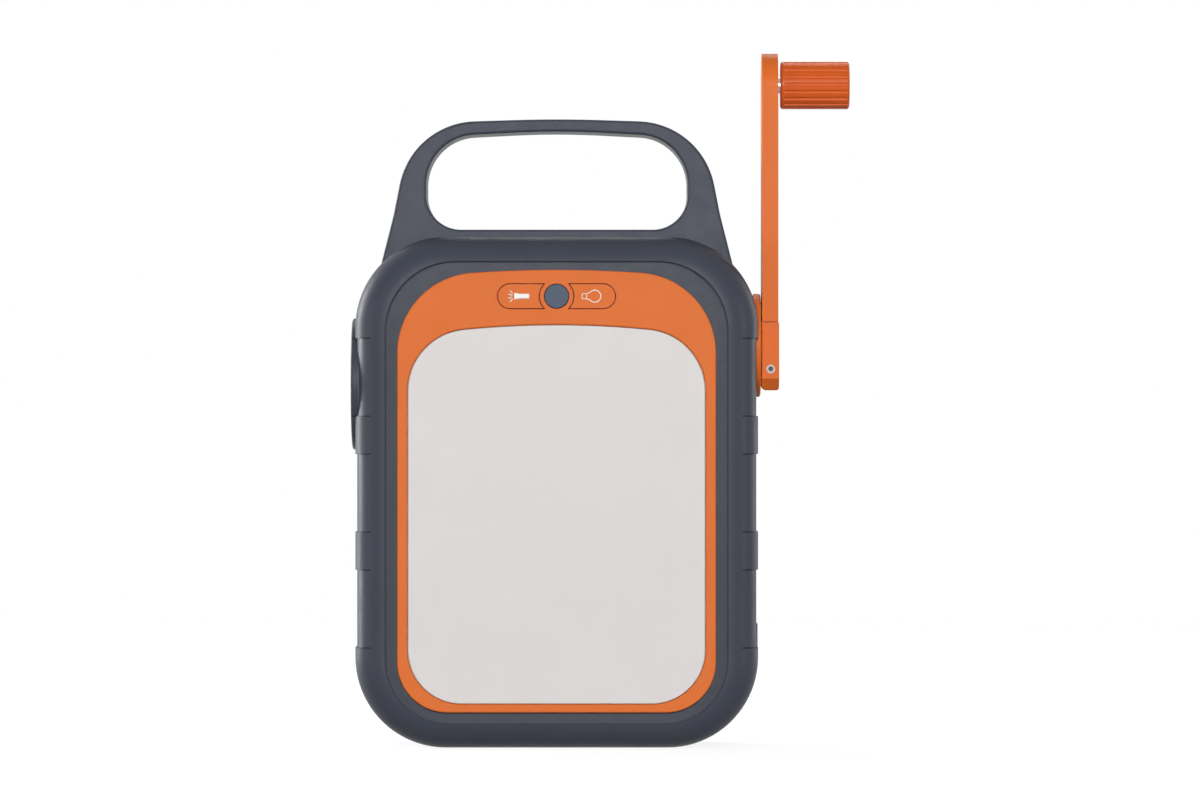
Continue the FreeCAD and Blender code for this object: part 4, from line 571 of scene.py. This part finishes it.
along = np.linspace(TORCH_HEAD, TORCH_TAIL, 24)
flare = np.clip((along - TORCH_HEAD - HEAD_LENGTH) / FLARE_LENGTH, 0, 1)
half = TORCH_HEAD_HALF + (TORCH_TUBE_HALF - TORCH_HEAD_HALF) * flare
across = np.linspace(-1, 1, 5)
heights = KEY_HEIGHT + half[:, None] * across
lengths = np.broadcast_to(along[:, None], heights.shape)
torch_points = np.stack([lengths, np.full(heights.shape, key_face), heights], axis=-1)
torch_parts = [surface("torch_shape", torch_points, ink)]
reach = np.array([RAY_NEAR, RAY_FAR])
for angle in np.radians(RAY_TURNS):
    ray_x = TORCH_HEAD - reach * math.cos(angle)
    ray_z = KEY_HEIGHT + (reach + TORCH_HEAD_HALF / 2) * math.sin(angle)
    torch_parts.append(stroke("ray", ray_x, ray_z))
torch_symbol = printed(joined("torch_symbol", torch_parts))
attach(torch_symbol, "torch_key")

# Bulb symbol on the right key.
# The same ink, in outline: a round glass that narrows to a neck, and a square cap.

BULB_CENTRE = 0.0137
BULB_RADIUS = 0.00215
BULB_CAP = 0.0093
BULB_NECK = 0.0108
CAP_HALF = 0.0009
GLASS_TURN = math.radians(140)

turn = np.linspace(-GLASS_TURN, GLASS_TURN, 40)
glass_x = BULB_CENTRE + BULB_RADIUS * np.cos(turn)
glass_z = BULB_RADIUS * np.sin(turn)
bulb_x = np.concatenate([glass_x, [BULB_NECK], [BULB_NECK]])
bulb_z = np.concatenate([glass_z, [CAP_HALF], [-CAP_HALF]])
cap_x = np.array([BULB_NECK, BULB_CAP, BULB_CAP, BULB_NECK]) - STROKE / 2
cap_z = np.array([CAP_HALF, CAP_HALF, -CAP_HALF, -CAP_HALF])
bulb_parts = [
    stroke("bulb_glass", bulb_x, KEY_HEIGHT + bulb_z, loop=True),
    stroke("bulb_cap", cap_x, KEY_HEIGHT + cap_z),
]
bulb_symbol = printed(joined("bulb_symbol", bulb_parts))
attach(bulb_symbol, "lantern_key")

# Floor.
# A white studio floor that keeps the object's shadow near it and is plain white further off. Light
# that falls on the object comes from a darker floor, so that its underside stays dark.

FLOOR_SIZE = 30.0
FADE_START = 0.25
FADE_END = 1.6
GLOW = 0.86
PALE = 0.30
BOUNCE = 0.05

floor_mesh = bpy.data.meshes.new("floor")
corners = [(x * FLOOR_SIZE, y * FLOOR_SIZE, 0) for x, y in ((-1, -1), (1, -1), (1, 1), (-1, 1))]
floor_mesh.from_pydata(corners, [], [(0, 1, 2, 3)])
floor = bpy.data.objects.new("floor", floor_mesh)
bpy.context.scene.collection.objects.link(floor)


def seen_directly(tree):
    """1 on rays from the camera and on mirror and glass rays, 0 on the light that falls on the object."""
    path = tree.nodes.new("ShaderNodeLightPath")
    total = path.outputs["Is Camera Ray"]
    for ray in ("Is Glossy Ray", "Is Transmission Ray"):
        total = sum_of(tree, "MAXIMUM", total, path.outputs[ray])
    return total


floor_paint = bpy.data.materials.new("floor white")
floor_paint.use_nodes = True
tree = floor_paint.node_tree
tree.nodes.clear()
place = tree.nodes.new("ShaderNodeTexCoord")
distance = tree.nodes.new("ShaderNodeVectorMath")
distance.operation = "LENGTH"
tree.links.new(place.outputs["Object"], distance.inputs[0])
fade = tree.nodes.new("ShaderNodeMapRange")
fade.interpolation_type = "SMOOTHSTEP"
fade.inputs["From Min"].default_value = FADE_START
fade.inputs["From Max"].default_value = FADE_END
tree.links.new(distance.outputs["Value"], fade.inputs["Value"])
glow = tree.nodes.new("ShaderNodeEmission")
glow.inputs["Strength"].default_value = GLOW
pale = tree.nodes.new("ShaderNodeBsdfDiffuse")
pale.inputs["Color"].default_value = (PALE, PALE, PALE, 1)
near = tree.nodes.new("ShaderNodeAddShader")
tree.links.new(glow.outputs[0], near.inputs[0])
tree.links.new(pale.outputs[0], near.inputs[1])
white = tree.nodes.new("ShaderNodeEmission")
around = tree.nodes.new("ShaderNodeMixShader")
tree.links.new(fade.outputs["Result"], around.inputs[0])
tree.links.new(near.outputs[0], around.inputs[1])
tree.links.new(white.outputs[0], around.inputs[2])
plain = tree.nodes.new("ShaderNodeBsdfDiffuse")
plain.inputs["Color"].default_value = (BOUNCE, BOUNCE, BOUNCE, 1)
choice = tree.nodes.new("ShaderNodeMixShader")
tree.links.new(seen_directly(tree), choice.inputs[0])
tree.links.new(plain.outputs[0], choice.inputs[1])
tree.links.new(around.outputs[0], choice.inputs[2])
out = tree.nodes.new("ShaderNodeOutputMaterial")
tree.links.new(choice.outputs[0], out.inputs[0])
floor_mesh.materials.append(floor_paint)

# World.
# White where it is seen, also in gloss and glass, and a weak even light on the object.

AMBIENT = 0.03

world = bpy.data.worlds.new("studio")
bpy.context.scene.world = world
world.use_nodes = True
tree = world.node_tree
background = tree.nodes["Background"]
strength = mapped(tree, seen_directly(tree), 0, 1, AMBIENT, 1)
tree.links.new(strength, background.inputs["Strength"])
background.inputs["Color"].default_value = (1, 1, 1, 1)

# Lights.
# A softbox behind and above the camera lights the front, and a tall strip in front on each side lights
# the case's flanks. Three boxes behind give the top and both sides a bright rim.

OBJECT_MIDDLE = (0.0, 0.0, 0.12)


def softbox(name, place, width, height, power):
    """A rectangular light at a place, turned to face the middle of the object."""
    lamp = bpy.data.lights.new(name, "AREA")
    lamp.shape = "RECTANGLE"
    lamp.size = width
    lamp.size_y = height
    lamp.energy = power
    holder = bpy.data.objects.new(name, lamp)
    holder.location = place
    holder.rotation_euler = (Vector(OBJECT_MIDDLE) - Vector(place)).to_track_quat("-Z", "Y").to_euler()
    bpy.context.scene.collection.objects.link(holder)


softbox("front", (0.0, -2.9, 0.65), width=1.0, height=0.8, power=66.0)
softbox("left_front", (-1.8, -0.9, 0.12), width=0.3, height=0.9, power=13.0)
softbox("right_front", (1.8, -0.9, 0.12), width=0.3, height=0.9, power=14.0)
softbox("above_behind", (0.0, 0.9, 1.2), width=1.2, height=0.4, power=6.0)
softbox("left_strip", (-1.2, 0.7, 0.2), width=0.3, height=1.2, power=30.0)
softbox("right_strip", (1.2, 0.9, 0.2), width=0.3, height=1.2, power=6.0)

# Camera.
# Straight on, level with the middle of the object, and far enough off for a slight perspective. The
# frame is as wide as the photograph at the depth of the case's front edges.

DISTANCE = 2.5
SIDE_DEPTH = 0.0195
PICTURE_WIDTH = 0.432
FRAME_WIDTH = PICTURE_WIDTH * DISTANCE / (DISTANCE - SIDE_DEPTH)
AIM = (0.01557, 0.1251)

camera = bpy.data.cameras.new("camera")
camera.sensor_width = 36.0
camera.lens = camera.sensor_width * DISTANCE / FRAME_WIDTH
camera.clip_start = 0.05
camera.clip_end = 100
stand = bpy.data.objects.new("camera", camera)
stand.location = (AIM[0], -DISTANCE, AIM[1])
stand.rotation_euler = (math.radians(90), 0, 0)
bpy.context.scene.collection.objects.link(stand)
bpy.context.scene.camera = stand

bpy.context.scene.view_settings.view_transform = "Standard"
